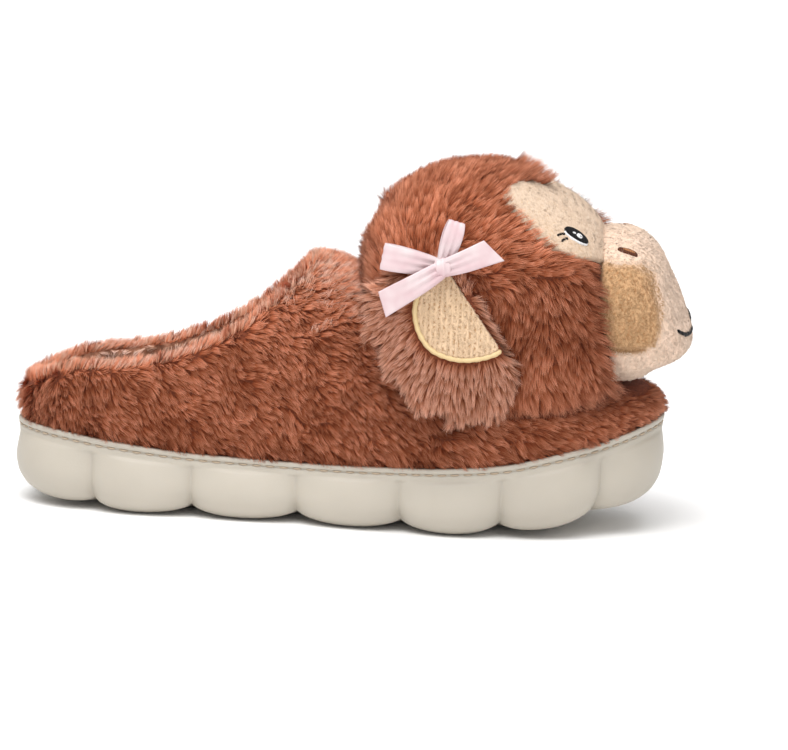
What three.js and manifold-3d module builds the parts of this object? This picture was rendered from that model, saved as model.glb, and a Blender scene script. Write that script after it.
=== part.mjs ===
// Plush animal slipper for the right foot: a low-backed furry scuff on a thick moulded sole of
// fourteen puffed lobes, with a stuffed monkey head sewn on the vamp and a ribbon bow at its ear.
// Millimetres. Toe towards +X, wearer's left towards +Y, floor at Z = 0.
import * as THREE from "three";
import { mergeVertices } from "three/addons/utils/BufferGeometryUtils.js";
import Module from "manifold-3d";

const wasm = await Module();
wasm.setup();

// Driving dimensions of the sole
const soleLength = 270;
const ballWidth = 105;
const rimHeight = 26; // top of the cup's rim above the floor at the waist
const toeSpring = 16; // the tread's rise at the toe
const footbedThickness = 15; // moulded foam under the foot
const lobeDepth = 4.6; // how far a groove cuts in between two lobes
const lobeLift = 4; // how far a groove rises from the floor at the sole's edge
const edgeRound = 20; // how far in the rounding of the tread's edge begins
const lipWidth = 2.6;
const ledgeDrop = 3; // the upper stands this far below the lip
const heelSeatShare = 0.2; // the heel's flat spot, as a share of the length: the part's origin

// Driving dimensions of the furry upper
const seatGap = 0.3; // clearance between pieces that meet
const wall = 7; // lining pile, cloth and the packed part of the outer pile
const bulgeRise = 8; // from the rim to the widest line of the upper
const bulgeShortest = 0.25; // the share of that rise left at the toe, where the vamp is low
const bulgeInset = 3.6; // the widest line's distance inside the sole's outline
const toeRoom = 3; // least height of the vamp's crest over its widest line at the toe
const instepHeight = 107; // crest of the vamp at the throat
const heelCollarHeight = 56; // collar behind the heel
const throatShare = 0.462; // where the collar crosses the instep
const insoleThickness = 5;

// Driving dimensions of the stuffed head
const headRadius = 50;
const headHalfWidth = 56;
const headCentre = new THREE.Vector3(0.722 * soleLength, 0, 0.925 * instepHeight);
const headLean = THREE.MathUtils.degToRad(7); // the crown leans over the outer side
const muzzleHalfWidth = 42;
const plushThickness = 1.3; // the short-pile cloth of face, ear and muzzle panels
const earHalfThickness = 5;
const earLength = 64;
const stitchHeight = 0.7; // raised embroidery
const earStand = 4; // from the head's widest line to the middle of an ear's thickness
const earFlare = THREE.MathUtils.degToRad(7); // the free edge stands away from the vamp
const earPower = 2.6;
const eyePlace = { side: 0.57, up: -0.17 }; // shares of headHalfWidth and headRadius
const eyeHalfWide = 4.8;
const eyeHalfTall = 6.2;
const eyeSpin = THREE.MathUtils.degToRad(-20);
const nostrilPlace = { side: 0.53, up: 0.18 }; // shares of muzzleHalfWidth and headRadius
const nostrilTurn = THREE.MathUtils.degToRad(60);
const nostrilHalfWide = 1.7;
const nostrilHalfTall = 4.4;
const nostrilSpin = THREE.MathUtils.degToRad(25);
const mouthTurn = THREE.MathUtils.degToRad(-8);
const mouthWidth = 1.7;

// Driving dimensions of the pile and the bow
const lockLength = 18;
const lockWidth = 12;
const lockFlatness = 0.42; // a lock's thickness as a share of its width
const lockLift = 2.6; // how far a lock's tip stands off the packed pile
const ribbonWidth = 9.5;
const ribbonThickness = 0.7;
const bowReach = 24; // from the knot to the end of a loop
const loopDepth = 7; // a loop's opening, seen from above
const bowPinch = 0.4; // share of a loop's width left where it is gathered
const tailPinch = 0.6; // the same for a tail
const knotRadius = 4.4;
const knotHalfDepth = 5;
const knotPlace = { along: -0.1, up: 0.45 }; // on the ear, shares of earLength
const knotStandoff = 7.5; // from the middle of the ear's thickness
const tailWave = 1.1;
const tailLift = 3.4; // the tails leave the knot in front of the loops
const lockSink = 0.13; // share of a lock's width that is sunk
const lockClear = 6; // locks stay this far from the next piece
const lockTilts = [5, 20, 36, 52, 68]; // rows of locks up the side of the upper, degrees
const headLockRows = 6;
const headLocksAround = 15;
const faceMargin = 0.3; // share of headRadius in front of which the head has no locks
const earLockSize = 0.75;
const earShadow = 0.64; // share of earLength round an ear's middle where the head has no locks

const colours = {
  fur: 0xa9684a,
  foam: 0xd9d2c4,
  plush: 0xd9b48a,
  pale: 0xe6cfb4,
  satin: 0xf6dde4,
  gold: 0xe8c87c,
  thread: 0x1d1a1c,
  nostril: 0x6a3420,
};

// The sole's outline seen from above: shares of soleLength and ballWidth, heel first,
// along the outer side (-Y) to the toe and back along the inner side.
const outlineRows = [
  { along: -0.008, across: 0.0 },
  { along: 0.005, across: -0.12 },
  { along: 0.046, across: -0.245 },
  { along: 0.13, across: -0.345 },
  { along: 0.27, across: -0.375 },
  { along: 0.42, across: -0.395 },
  { along: 0.56, across: -0.455 },
  { along: 0.68, across: -0.5 },
  { along: 0.8, across: -0.475 },
  { along: 0.9, across: -0.38 },
  { along: 0.969, across: -0.225 },
  { along: 1.004, across: -0.06 },
  { along: 1.004, across: 0.09 },
  { along: 0.974, across: 0.25 },
  { along: 0.91, across: 0.39 },
  { along: 0.8, across: 0.48 },
  { along: 0.68, across: 0.48 },
  { along: 0.56, across: 0.415 },
  { along: 0.42, across: 0.355 },
  { along: 0.27, across: 0.355 },
  { along: 0.13, across: 0.335 },
  { along: 0.046, across: 0.24 },
  { along: 0.005, across: 0.12 },
];

// Grooves between lobes on each long side. One more lies at the heel's back and one at the toe.
const grooveShares = [0.124, 0.281, 0.439, 0.596, 0.756, 0.913];

// Heights along the sole: rim as a share of rimHeight, tread as a share of toeSpring.
const heightRows = [
  { along: 0.0, rim: 1.29, tread: 0.38 },
  { along: 0.05, rim: 1.255, tread: 0.21 },
  { along: 0.1, rim: 1.21, tread: 0.075 },
  { along: 0.15, rim: 1.15, tread: 0 },
  { along: 0.29, rim: 1.02, tread: 0 },
  { along: 0.45, rim: 0.98, tread: 0 },
  { along: 0.65, rim: 1.05, tread: 0 },
  { along: 0.69, rim: 1.085, tread: 0 },
  { along: 0.75, rim: 1.15, tread: 0.05 },
  { along: 0.83, rim: 1.33, tread: 0.22 },
  { along: 0.93, rim: 1.6, tread: 0.65 },
  { along: 1.0, rim: 1.84, tread: 1 },
];

// One lobe's side from the tread to the rim: up as a share of the side's height, inset as a share
// of edgeRound, groove as a share of lobeDepth, lift as a share of lobeLift.
const sideRows = [
  { up: 0.0, inset: 1.0, groove: 0, lift: 0 },
  { up: 0.0, inset: 0.6, groove: 0.2, lift: 0.35 },
  { up: 0.02, inset: 0.34, groove: 0.6, lift: 0.8 },
  { up: 0.1, inset: 0.15, groove: 0.9, lift: 0.9 },
  { up: 0.24, inset: 0.04, groove: 1, lift: 0.6 },
  { up: 0.42, inset: 0.0, groove: 1, lift: 0.25 },
  { up: 0.6, inset: 0.03, groove: 0.9, lift: 0 },
  { up: 0.74, inset: 0.1, groove: 0.55, lift: 0 },
  { up: 0.83, inset: 0.19, groove: 0.1, lift: 0 },
  { up: 0.91, inset: 0.185, groove: 0, lift: 0 },
  { up: 0.93, inset: 0.145, groove: 0, lift: 0 },
  { up: 1.0, inset: 0.16, groove: 0, lift: 0 },
];
const lipInset = sideRows.at(-1).inset * edgeRound;
const lobeSteps = [-1, -0.82, -0.4, 0, 0.4, 0.82];
const coarseSteps = [-1, -0.33, 0.33];
const innerSteps = [-1, 0];
const archTilts = [0, 13, 28, 44, 60, 76, 90];
const innerTilts = [0, 18, 40, 65, 90];
const lobeRoundness = 0.93;

// The vamp's crest line, as a share of instepHeight.
const crestRows = [
  { along: 0.0, crest: 0.93 },
  { along: 0.3, crest: 0.985 },
  { along: 0.45, crest: 1.0 },
  { along: 0.5, crest: 0.975 },
  { along: 0.56, crest: 0.9 },
  { along: 0.63, crest: 0.81 },
  { along: 0.71, crest: 0.715 },
  { along: 0.79, crest: 0.645 },
  { along: 0.88, crest: 0.585 },
  { along: 1.0, crest: 0.545 },
];
const spineStart = 0.17;
const spineEnd = 0.915;
const archPower = 2.3; // roundness of the upper's cross-section
const collarPoints = 31;

// The collar's edge seen from the side: along as a share of throatShare, rise as a share of the
// way from heelCollarHeight to instepHeight.
const collarRows = [
  { along: -0.08, rise: -0.34 },
  { along: 0.06, rise: -0.1 },
  { along: 0.13, rise: -0.02 },
  { along: 0.22, rise: 0.05 },
  { along: 0.36, rise: 0.09 },
  { along: 0.48, rise: 0.14 },
  { along: 0.62, rise: 0.27 },
  { along: 0.74, rise: 0.42 },
  { along: 0.85, rise: 0.65 },
  { along: 0.93, rise: 0.83 },
  { along: 1.0, rise: 1.05 },
];

// The head's outline seen from the side: reach as a share of headRadius at each angle from +X.
const headRows = [
  { turn: 0, reach: 0.96 },
  { turn: 20, reach: 0.985 },
  { turn: 36, reach: 0.965 },
  { turn: 50, reach: 0.915 },
  { turn: 65, reach: 0.9 },
  { turn: 80, reach: 0.945 },
  { turn: 105, reach: 0.975 },
  { turn: 140, reach: 1.05 },
  { turn: 175, reach: 1.05 },
  { turn: 215, reach: 1.0 },
  { turn: 255, reach: 1.02 },
  { turn: 290, reach: 1.07 },
  { turn: 305, reach: 1.12 },
  { turn: 318, reach: 1.2 },
  { turn: 331, reach: 1.24 },
  { turn: 343, reach: 1.06 },
];
const crownPower = 2.3; // round over the crown
const cheekPower = 4.4; // square over the cheeks, which hang down the vamp's sides
const cheekTurn = THREE.MathUtils.degToRad(290);

// The muzzle's outline seen from the side, about its own centre.
const muzzleCentre = { along: 1.02, up: -0.14 }; // from the head's centre, shares of headRadius
const muzzleRows = [
  { turn: 0, reach: 0.595 },
  { turn: 30, reach: 0.57 },
  { turn: 50, reach: 0.585 },
  { turn: 65, reach: 0.61 },
  { turn: 78, reach: 0.635 },
  { turn: 95, reach: 0.625 },
  { turn: 180, reach: 0.5 },
  { turn: 270, reach: 0.68 },
  { turn: 290, reach: 0.7 },
  { turn: 302, reach: 0.68 },
  { turn: 313, reach: 0.705 },
  { turn: 325, reach: 0.739 },
  { turn: 340, reach: 0.7 },
  { turn: 352, reach: 0.635 },
];
const muzzlePower = 2.7;

// The face panel seen along the face's own direction: side as a share of headHalfWidth, up as a
// share of headRadius. It is a heart whose dip is the fur at the forehead.
const faceTurn = THREE.MathUtils.degToRad(50);
const faceRows = [
  { side: 0.0, up: 0.26 },
  { side: 0.14, up: 0.38 },
  { side: 0.3, up: 0.48 },
  { side: 0.47, up: 0.52 },
  { side: 0.6, up: 0.46 },
  { side: 0.7, up: 0.28 },
  { side: 0.78, up: 0.09 },
  { side: 0.78, up: -0.12 },
  { side: 0.7, up: -0.3 },
  { side: 0.55, up: -0.42 },
  { side: 0.3, up: -0.6 },
];

// The ear's outline seen from the side, shares of earLength from its middle.
const earRows = [
  { along: -0.11, up: 0.47 },
  { along: -0.34, up: 0.42 },
  { along: -0.52, up: 0.27 },
  { along: -0.51, up: 0.08 },
  { along: -0.42, up: -0.13 },
  { along: -0.28, up: -0.33 },
  { along: -0.08, up: -0.46 },
  { along: 0.15, up: -0.5 },
  { along: 0.34, up: -0.43 },
  { along: 0.41, up: -0.28 },
  { along: 0.22, up: 0.1 },
  { along: 0.04, up: 0.38 },
];
const earMiddle = { along: -0.27, up: -0.16 }; // from the head's centre, shares of headRadius
const patchRows = [
  { along: -0.055, up: 0.45 },
  { along: -0.2, up: 0.37 },
  { along: -0.27, up: 0.22 },
  { along: -0.25, up: 0.06 },
  { along: -0.16, up: -0.08 },
  { along: 0.0, up: -0.145 },
  { along: 0.17, up: -0.135 },
  { along: 0.31, up: -0.075 },
];
const edgingWidth = 1.8; // satin stitch round the ear's panel

// The mouth's stitched line, from the muzzle's middle outwards.
const mouthRows = [
  { side: 0.0, up: -0.1 },
  { side: 0.25, up: -0.095 },
  { side: 0.45, up: -0.06 },
  { side: 0.62, up: -0.01 },
  { side: 0.73, up: 0.07 },
];

// The bow's ribbons: the direction of each from the knot, seen from the outer side, its reach in
// shares of bowReach and its width in shares of ribbonWidth.
const bowRows = [
  { name: "bow_loop_back", loop: true, degrees: 171, reach: 1.02, width: 1.2 },
  { name: "bow_loop_top", loop: true, degrees: 75, reach: 0.8, width: 1.0 },
  { name: "bow_tail_front", loop: false, degrees: 21, reach: 0.9, width: 1.1, skew: -0.5 },
  { name: "bow_tail_low", loop: false, degrees: 213, reach: 1.18, width: 1.1, skew: 0.25 },
].map((row) => ({
  ...row,
  turn: THREE.MathUtils.degToRad(row.degrees),
  reach: row.reach * bowReach,
}));

// Smooth curve through rows of a table that never overshoots them.
function follow(rows, key, value) {
  const xs = rows.map((row) => row[key]);
  const ys = rows.map((row) => row[value]);
  const rise = xs.slice(1).map((x, i) => (ys[i + 1] - ys[i]) / (x - xs[i]));
  const slopes = xs.map((x, i) => {
    if (i === 0) return rise[0];
    if (i === xs.length - 1) return rise.at(-1);
    const [before, after] = [rise[i - 1], rise[i]];
    return before * after <= 0 ? 0 : (2 * before * after) / (before + after);
  });
  return (x) => {
    const at = THREE.MathUtils.clamp(x, xs[0], xs.at(-1));
    const next = Math.min(Math.max(xs.findIndex((v) => v >= at), 1), xs.length - 1);
    const span = xs[next] - xs[next - 1];
    const t = (at - xs[next - 1]) / span;
    return (
      ys[next - 1] * (1 + 2 * t) * (1 - t) ** 2 +
      slopes[next - 1] * span * t * (1 - t) ** 2 +
      ys[next] * t * t * (3 - 2 * t) +
      slopes[next] * span * t * t * (t - 1)
    );
  };
}

// Reach at any angle from a table of turns in degrees, closed round the circle.
function followRound(rows) {
  const [last, first] = [rows.at(-1), rows[0]];
  const closed = [{ ...last, turn: last.turn - 360 }, ...rows, { ...first, turn: first.turn + 360 }];
  const reach = follow(closed, "turn", "reach");
  return (angle) => reach(((THREE.MathUtils.radToDeg(angle) % 360) + 360) % 360);
}

const rimShare = follow(heightRows, "along", "rim");
const treadShare = follow(heightRows, "along", "tread");
const crestShare = follow(crestRows, "along", "crest");
const rimAt = (x) => rimHeight * rimShare(x / soleLength);
const treadAt = (x) => toeSpring * treadShare(x / soleLength);
const crestAt = (x) => instepHeight * crestShare(x / soleLength);
const bulgeAt = (x) =>
  bulgeRise * THREE.MathUtils.clamp((crestAt(x) - rimAt(x)) / instepHeight / 0.3, bulgeShortest, 1);
const footbedAt = (x) => treadAt(x) + footbedThickness;

// The sole's middle line and half width, from each outline row and the row across from it.
const middleRows = outlineRows.slice(0, Math.ceil(outlineRows.length / 2)).map((row, i) => {
  const mate = outlineRows[(outlineRows.length - i) % outlineRows.length];
  return {
    along: (row.along + mate.along) / 2,
    middle: (row.across + mate.across) / 2,
    half: (mate.across - row.across) / 2,
  };
});
const middleShare = follow(middleRows, "along", "middle");
const middleAt = (x) => ballWidth * middleShare(x / soleLength);
const halfShare = follow(middleRows, "along", "half");
const halfWidthAt = (x) => ballWidth * halfShare(x / soleLength);

// A closed surface as a solid: equal points are merged and collapsed triangles dropped.
function solidOf(points, faces) {
  const geometry = new THREE.BufferGeometry().setFromPoints(points).setIndex(faces.flat());
  return solidFrom(geometry);
}

function solidFrom(geometry) {
  const bare = geometry.clone();
  bare.deleteAttribute("normal");
  bare.deleteAttribute("uv");
  const merged = mergeVertices(bare, 1e-4);
  const index = merged.index.array;
  const kept = [];
  for (let i = 0; i < index.length; i += 3) {
    const [a, b, c] = [index[i], index[i + 1], index[i + 2]];
    if (a !== b && b !== c && c !== a) kept.push(a, b, c);
  }
  return new wasm.Manifold(
    new wasm.Mesh({
      numProp: 3,
      vertProperties: merged.attributes.position.array,
      triVerts: new Uint32Array(kept),
    }),
  );
}

function geometryOf(solid) {
  const mesh = solid.getMesh();
  const geometry = new THREE.BufferGeometry();
  geometry.setAttribute("position", new THREE.BufferAttribute(mesh.vertProperties, 3));
  geometry.setIndex(new THREE.BufferAttribute(mesh.triVerts, 1));
  geometry.computeVertexNormals();
  return geometry;
}

const joined = (solids) => solids.reduce((all, solid) => all.add(solid));

function moved(solid, matrix) {
  const { vertProperties, triVerts } = solid.getMesh();
  new THREE.BufferAttribute(vertProperties, 3).applyMatrix4(matrix);
  return new wasm.Manifold(new wasm.Mesh({ numProp: 3, vertProperties, triVerts }));
}

// The largest body of a cut, without the crumbs that a boolean can leave.
function mainBody(solid) {
  return solid.decompose().reduce((a, b) => (b.volume() > a.volume() ? b : a));
}

// Quads between rings of equal length, each ring running anticlockwise seen from above.
function ringFaces(rings, length) {
  const faces = [];
  for (let r = 0; r + 1 < rings; r++) {
    for (let i = 0; i < length; i++) {
      const next = (i + 1) % length;
      const [a, b] = [r * length + i, r * length + next];
      faces.push([a, b, b + length], [a, b + length, a + length]);
    }
  }
  return faces;
}

// A cap over one ring whose points i and length - i lie across from each other.
function ladderFaces(start, length, facesUp) {
  const faces = [];
  const push = (a, b, c) => faces.push(facesUp ? [a, b, c] : [a, c, b]);
  for (let i = 0; i < length / 2; i++) {
    const [right, rightNext] = [start + i, start + i + 1];
    const [left, leftNext] = [start + ((length - i) % length), start + length - i - 1];
    if (left !== right) push(right, rightNext, left);
    if (leftNext !== rightNext) push(rightNext, leftNext, left);
  }
  return faces;
}

// The outline as a closed curve, and the shares of its length where the grooves lie.
const outlineCurve = new THREE.CatmullRomCurve3(
  outlineRows.map((row) => new THREE.Vector3(row.along * soleLength, row.across * ballWidth, 0)),
  true,
  "centripetal",
);
outlineCurve.arcLengthDivisions = 800;

function shareWhere(passes, from, to) {
  let [low, high] = [from, to];
  for (let i = 0; i < 40; i++) {
    const middle = (low + high) / 2;
    if (passes(outlineCurve.getPointAt(middle))) high = middle;
    else low = middle;
  }
  return (low + high) / 2;
}

const toeTurn = shareWhere((p) => p.y > 0, 0.3, 0.7);
const outerGrooves = grooveShares.map((g) => shareWhere((p) => p.x > g * soleLength, 0, toeTurn));
const innerGrooves = grooveShares.map((g) => shareWhere((p) => p.x < g * soleLength, toeTurn, 1));
const grooves = [0, ...outerGrooves, toeTurn, ...innerGrooves.reverse(), 1];

// Points round the outline, the same steps on every lobe, so that sides pair up across.
function outlineLoop(steps) {
  const loop = [];
  for (let lobe = 0; lobe + 1 < grooves.length; lobe++) {
    for (const step of steps) {
      const share = THREE.MathUtils.lerp(grooves[lobe], grooves[lobe + 1], (step + 1) / 2);
      const point = outlineCurve.getPointAt(share);
      const tangent = outlineCurve.getTangentAt(share);
      const floor = Math.sqrt(1 - lobeRoundness ** 2);
      const puff = (Math.sqrt(1 - (lobeRoundness * step) ** 2) - floor) / (1 - floor);
      loop.push({ x: point.x, y: point.y, outX: tangent.y, outY: -tangent.x, puff });
    }
  }
  return loop;
}

const inward = (at, inset) => [at.x - at.outX * inset, at.y - at.outY * inset];

// Outsole: puffed lobes outside, a lip and a ledge for the upper, and a cup for the footbed
function makeOutsole() {
  const loop = outlineLoop(lobeSteps);
  const points = [];
  const ring = (inset, height) =>
    loop.forEach((at) => {
      const [x, y] = inward(at, inset(at));
      points.push(new THREE.Vector3(x, y, height(x, at)));
    });
  for (const row of sideRows) {
    ring(
      (at) => row.inset * edgeRound + row.groove * lobeDepth * (1 - at.puff),
      (x, at) => {
        const tread = treadAt(x);
        return tread + row.up * (rimAt(x) - tread) + row.lift * lobeLift * (1 - at.puff);
      },
    );
  }
  const lipInner = lipInset + lipWidth;
  const cupEdge = lipInner + wall + 3 * seatGap;
  ring(() => lipInner, rimAt);
  ring(() => lipInner, (x) => rimAt(x) - ledgeDrop);
  ring(() => cupEdge, (x) => rimAt(x) - ledgeDrop);
  ring(() => cupEdge, footbedAt);
  const rings = points.length / loop.length;
  return solidOf(points, [
    ...ringFaces(rings, loop.length),
    ...ladderFaces(0, loop.length, false),
    ...ladderFaces((rings - 1) * loop.length, loop.length, true),
  ]);
}

// Insole: a plush pad in the cup, crowned a little along its middle
function makeInsole() {
  const loop = outlineLoop(coarseSteps);
  const cupEdge = lipInset + lipWidth + wall + 3 * seatGap;
  const points = [];
  const ring = (inset, height) =>
    loop.forEach((at) => {
      const [x, y] = inward(at, inset);
      points.push(new THREE.Vector3(x, y, height(x)));
    });
  const edge = cupEdge + 2 * seatGap;
  ring(edge + 0.2 * insoleThickness, (x) => footbedAt(x) + seatGap);
  ring(edge, (x) => footbedAt(x) + 0.35 * insoleThickness);
  ring(edge + 0.16 * insoleThickness, (x) => footbedAt(x) + 0.8 * insoleThickness);
  ring(edge + insoleThickness, (x) => footbedAt(x) + insoleThickness);
  return solidOf(points, [
    ...ringFaces(4, loop.length),
    ...ladderFaces(0, loop.length, false),
    ...ladderFaces(3 * loop.length, loop.length, true),
  ]);
}

// The last's surface at a point of the loop: tilt 0 is the widest line, a right angle the crest.
// depth is measured inwards from the packed pile's surface.
function lastPoint(at, mate, tilt, depth) {
  const [x, y] = inward(at, bulgeInset + depth);
  const [mateX] = inward(mate, bulgeInset + depth);
  const spineX = THREE.MathUtils.clamp(
    (x + mateX) / 2,
    spineStart * soleLength,
    spineEnd * soleLength,
  );
  const spineY = middleAt(spineX);
  const waist = rimAt(x) + bulgeAt(x);
  const crest = Math.max(crestAt(spineX) - depth, rimAt(soleLength) + bulgeInset + toeRoom);
  const toSpine = tilt < Math.PI / 2 ? 1 - Math.cos(tilt) ** (2 / archPower) : 1;
  const rise = tilt < Math.PI / 2 ? Math.sin(tilt) ** (2 / archPower) : 1;
  return new THREE.Vector3(
    THREE.MathUtils.lerp(x, spineX, toSpine),
    THREE.MathUtils.lerp(y, spineY, toSpine),
    THREE.MathUtils.lerp(waist, crest, rise),
  );
}

// The last as a closed solid, its foot pulled in below the widest line to pass inside the lip.
const footInset = lipInset + lipWidth + 2 * seatGap;
function makeLast(steps, tilts, depth, footDrop) {
  const loop = outlineLoop(steps);
  const mates = loop.map((at, i) => loop[(loop.length - i) % loop.length]);
  const points = [];
  const ring = (share, above) =>
    loop.forEach((at) => {
      const inset = THREE.MathUtils.lerp(bulgeInset, footInset, share) + depth;
      const [x, y] = inward(at, inset);
      points.push(new THREE.Vector3(x, y, rimAt(x) + above * bulgeAt(x)));
    });
  ring(1, -footDrop / (bulgeShortest * bulgeRise));
  ring(1, 0.05);
  ring(0.62, 0.3);
  ring(0.24, 0.62);
  for (const tilt of tilts) {
    loop.forEach((at, i) =>
      points.push(lastPoint(at, mates[i], THREE.MathUtils.degToRad(tilt), depth)),
    );
  }
  const rings = points.length / loop.length;
  return solidOf(points, [
    ...ringFaces(rings, loop.length),
    ...ladderFaces(0, loop.length, false),
  ]);
}

// A slab across the shoe whose side view is the given outline of [x, z] pairs
function sideSlab(outline) {
  const shape = new THREE.Shape(outline.map(([x, z]) => new THREE.Vector2(x, z)));
  const slab = new THREE.ExtrudeGeometry(shape, { depth: 2 * ballWidth, bevelEnabled: false });
  slab.rotateX(Math.PI / 2).translate(0, ballWidth, 0);
  return solidFrom(slab);
}

const collarRise = follow(collarRows, "along", "rise");
const collarAt = (x) =>
  heelCollarHeight +
  (instepHeight - heelCollarHeight) * collarRise(x / (throatShare * soleLength));

function collarCutter() {
  const [from, to] = [collarRows[0].along, collarRows.at(-1).along];
  const line = Array.from({ length: collarPoints }, (_, i) => {
    const share = THREE.MathUtils.lerp(from, to, i / (collarPoints - 1));
    const x = share * throatShare * soleLength;
    return [x, collarAt(x)];
  });
  const top = 1.5 * instepHeight;
  return sideSlab([...line, [line.at(-1)[0], top], [line[0][0], top]]);
}

function footCutter() {
  const line = [];
  for (let i = -2; i <= 62; i++) {
    const x = (i / 60) * soleLength;
    line.push([x, rimAt(x) - ledgeDrop + seatGap]);
  }
  return sideSlab([[line[0][0], -rimHeight], [line.at(-1)[0], -rimHeight], ...line.reverse()]);
}

// A lock of pile: a flattened spike whose root is sunk in the solid and whose tip stands off it
function makeLock(root, out, comb, size) {
  const spike = new THREE.ConeGeometry(lockWidth / 2, lockLength, 4, 1);
  spike.translate(0, lockLength / 2, 0);
  spike.scale(size, size, lockFlatness * size);
  const along = comb.clone().addScaledVector(out, -comb.dot(out)).normalize();
  const sink = lockSink * lockWidth;
  const rise = Math.atan2(lockLift + sink, lockLength);
  const axis = along.clone().multiplyScalar(Math.cos(rise)).addScaledVector(out, Math.sin(rise));
  const across = new THREE.Vector3().crossVectors(axis, out).normalize();
  const flat = new THREE.Vector3().crossVectors(across, axis);
  const base = root.clone().addScaledVector(out, -sink * size);
  spike.applyMatrix4(new THREE.Matrix4().makeBasis(across, axis, flat).setPosition(base));
  return solidFrom(spike);
}

// The outward direction of a surface given as a function of two parameters
function outwardAt(surface, u, v, step) {
  const alongU = surface(u + step, v).sub(surface(u - step, v));
  const alongV = surface(u, v + step).sub(surface(u, v - step));
  return alongU.cross(alongV).normalize();
}

// Repeatable numbers between 0 and 1 for the natural unevenness of the pile
let seed = 11;
function random() {
  seed = (seed * 16807) % 2147483647;
  return seed / 2147483647;
}

// A stuffed form from its side outline of [x, z] pairs, its half width and the power of its
// sections, all about its own centre.
function makePillow({ outline, halfWidth, power, rows }) {
  const points = [];
  const faces = [];
  for (let r = 0; r <= rows; r++) {
    const tilt = (r / rows - 0.5) * Math.PI;
    const pole = r === 0 || r === rows;
    for (const [x, z] of outline) {
      const share = 2 / power(Math.atan2(z, x));
      const ring = pole ? 0 : Math.cos(tilt) ** share;
      const side = Math.sign(tilt) * Math.abs(Math.sin(tilt)) ** share;
      points.push(new THREE.Vector3(x * ring, halfWidth * side, z * ring));
    }
  }
  for (let r = 0; r < rows; r++) {
    for (let i = 0; i < outline.length; i++) {
      const next = (i + 1) % outline.length;
      const [a, b] = [r * outline.length + i, r * outline.length + next];
      faces.push([a, b + outline.length, b], [a, a + outline.length, b + outline.length]);
    }
  }
  return solidOf(points, faces);
}

const polarOutline = (reach, around) =>
  Array.from({ length: around }, (_, i) => {
    const angle = (2 * Math.PI * i) / around;
    return [reach(angle) * Math.cos(angle), reach(angle) * Math.sin(angle)];
  });

const smoothClosed = (points, count) =>
  new THREE.CatmullRomCurve3(
    points.map(([a, b]) => new THREE.Vector3(a, b, 0)),
    true,
    "centripetal",
  )
    .getSpacedPoints(count)
    .slice(0, -1)
    .map((p) => [p.x, p.y]);

const smoothOpen = (points, count) =>
  new THREE.SplineCurve(points.map(([a, b]) => new THREE.Vector2(a, b)))
    .getSpacedPoints(count)
    .map((p) => [p.x, p.y]);

const grownBy = (outline, grow) =>
  outline.map(([x, z]) => {
    const scale = 1 + grow / Math.hypot(x, z);
    return [x * scale, z * scale];
  });

const ovalPoints = (side, up, halfWide, halfTall, spin = 0, count = 14) =>
  Array.from({ length: count }, (_, i) => {
    const angle = (2 * Math.PI * i) / count;
    const [a, b] = [halfWide * Math.cos(angle), halfTall * Math.sin(angle)];
    return [
      side + a * Math.cos(spin) - b * Math.sin(spin),
      up + a * Math.sin(spin) + b * Math.cos(spin),
    ];
  });

// Head: cheeks are squarer than the crown, so the section's power turns with the angle
const headReach = followRound(headRows);
const headPowerAt = (angle) =>
  THREE.MathUtils.lerp(crownPower, cheekPower, ((1 + Math.cos(angle - cheekTurn)) / 2) ** 1.5);

const headForm = (grow) =>
  makePillow({
    outline: polarOutline((angle) => headRadius * headReach(angle) + grow, 34),
    halfWidth: headHalfWidth + grow,
    power: headPowerAt,
    rows: 12,
  });

function headPoint(angle, tilt) {
  const share = 2 / headPowerAt(angle);
  const ring = headRadius * headReach(angle) * Math.cos(tilt) ** share;
  const side = headHalfWidth * Math.sign(tilt) * Math.abs(Math.sin(tilt)) ** share;
  return new THREE.Vector3(ring * Math.cos(angle), side, ring * Math.sin(angle));
}

const muzzleReach = followRound(muzzleRows);
const muzzlePlace = [muzzleCentre.along * headRadius, muzzleCentre.up * headRadius];

const muzzleForm = (grow) => {
  const pillow = makePillow({
    outline: polarOutline((angle) => headRadius * muzzleReach(angle) + grow, 28),
    halfWidth: muzzleHalfWidth + grow,
    power: () => muzzlePower,
    rows: 10,
  });
  return moved(pillow, new THREE.Matrix4().makeTranslation(muzzlePlace[0], 0, muzzlePlace[1]));
};

// A prism along a direction in the XZ plane from a closed outline of [side, up] pairs, where side
// is +Y and up is a quarter turn on from the direction.
function turnedSlab(outline, turn, start, length, [x, z] = [0, 0]) {
  const shape = new THREE.Shape(outline.map(([side, up]) => new THREE.Vector2(side, up)));
  const slab = new THREE.ExtrudeGeometry(shape, { depth: length, bevelEnabled: false });
  const out = new THREE.Vector3(Math.cos(turn), 0, Math.sin(turn));
  const up = new THREE.Vector3(-Math.sin(turn), 0, Math.cos(turn));
  const basis = new THREE.Matrix4().makeBasis(new THREE.Vector3(0, 1, 0), up, out);
  slab.applyMatrix4(basis.setPosition(x + out.x * start, 0, z + out.z * start));
  return solidFrom(slab);
}

// Face panel: a short-pile sheet on the front of the head, cut round the muzzle
function makeFace() {
  const right = faceRows.map((row) => [row.side * headHalfWidth, row.up * headRadius]);
  const left = right.slice(1).reverse().map(([side, up]) => [-side, up]);
  const outline = smoothClosed([...right, ...left], 44);
  const sheet = headForm(seatGap + plushThickness).subtract(headForm(seatGap));
  const panel = sheet.intersect(turnedSlab(outline, faceTurn, 0, 2 * headRadius));
  return mainBody(panel.subtract(muzzleForm(seatGap)));
}

const makeMuzzle = () => mainBody(muzzleForm(0).subtract(headForm(seatGap)));

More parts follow.
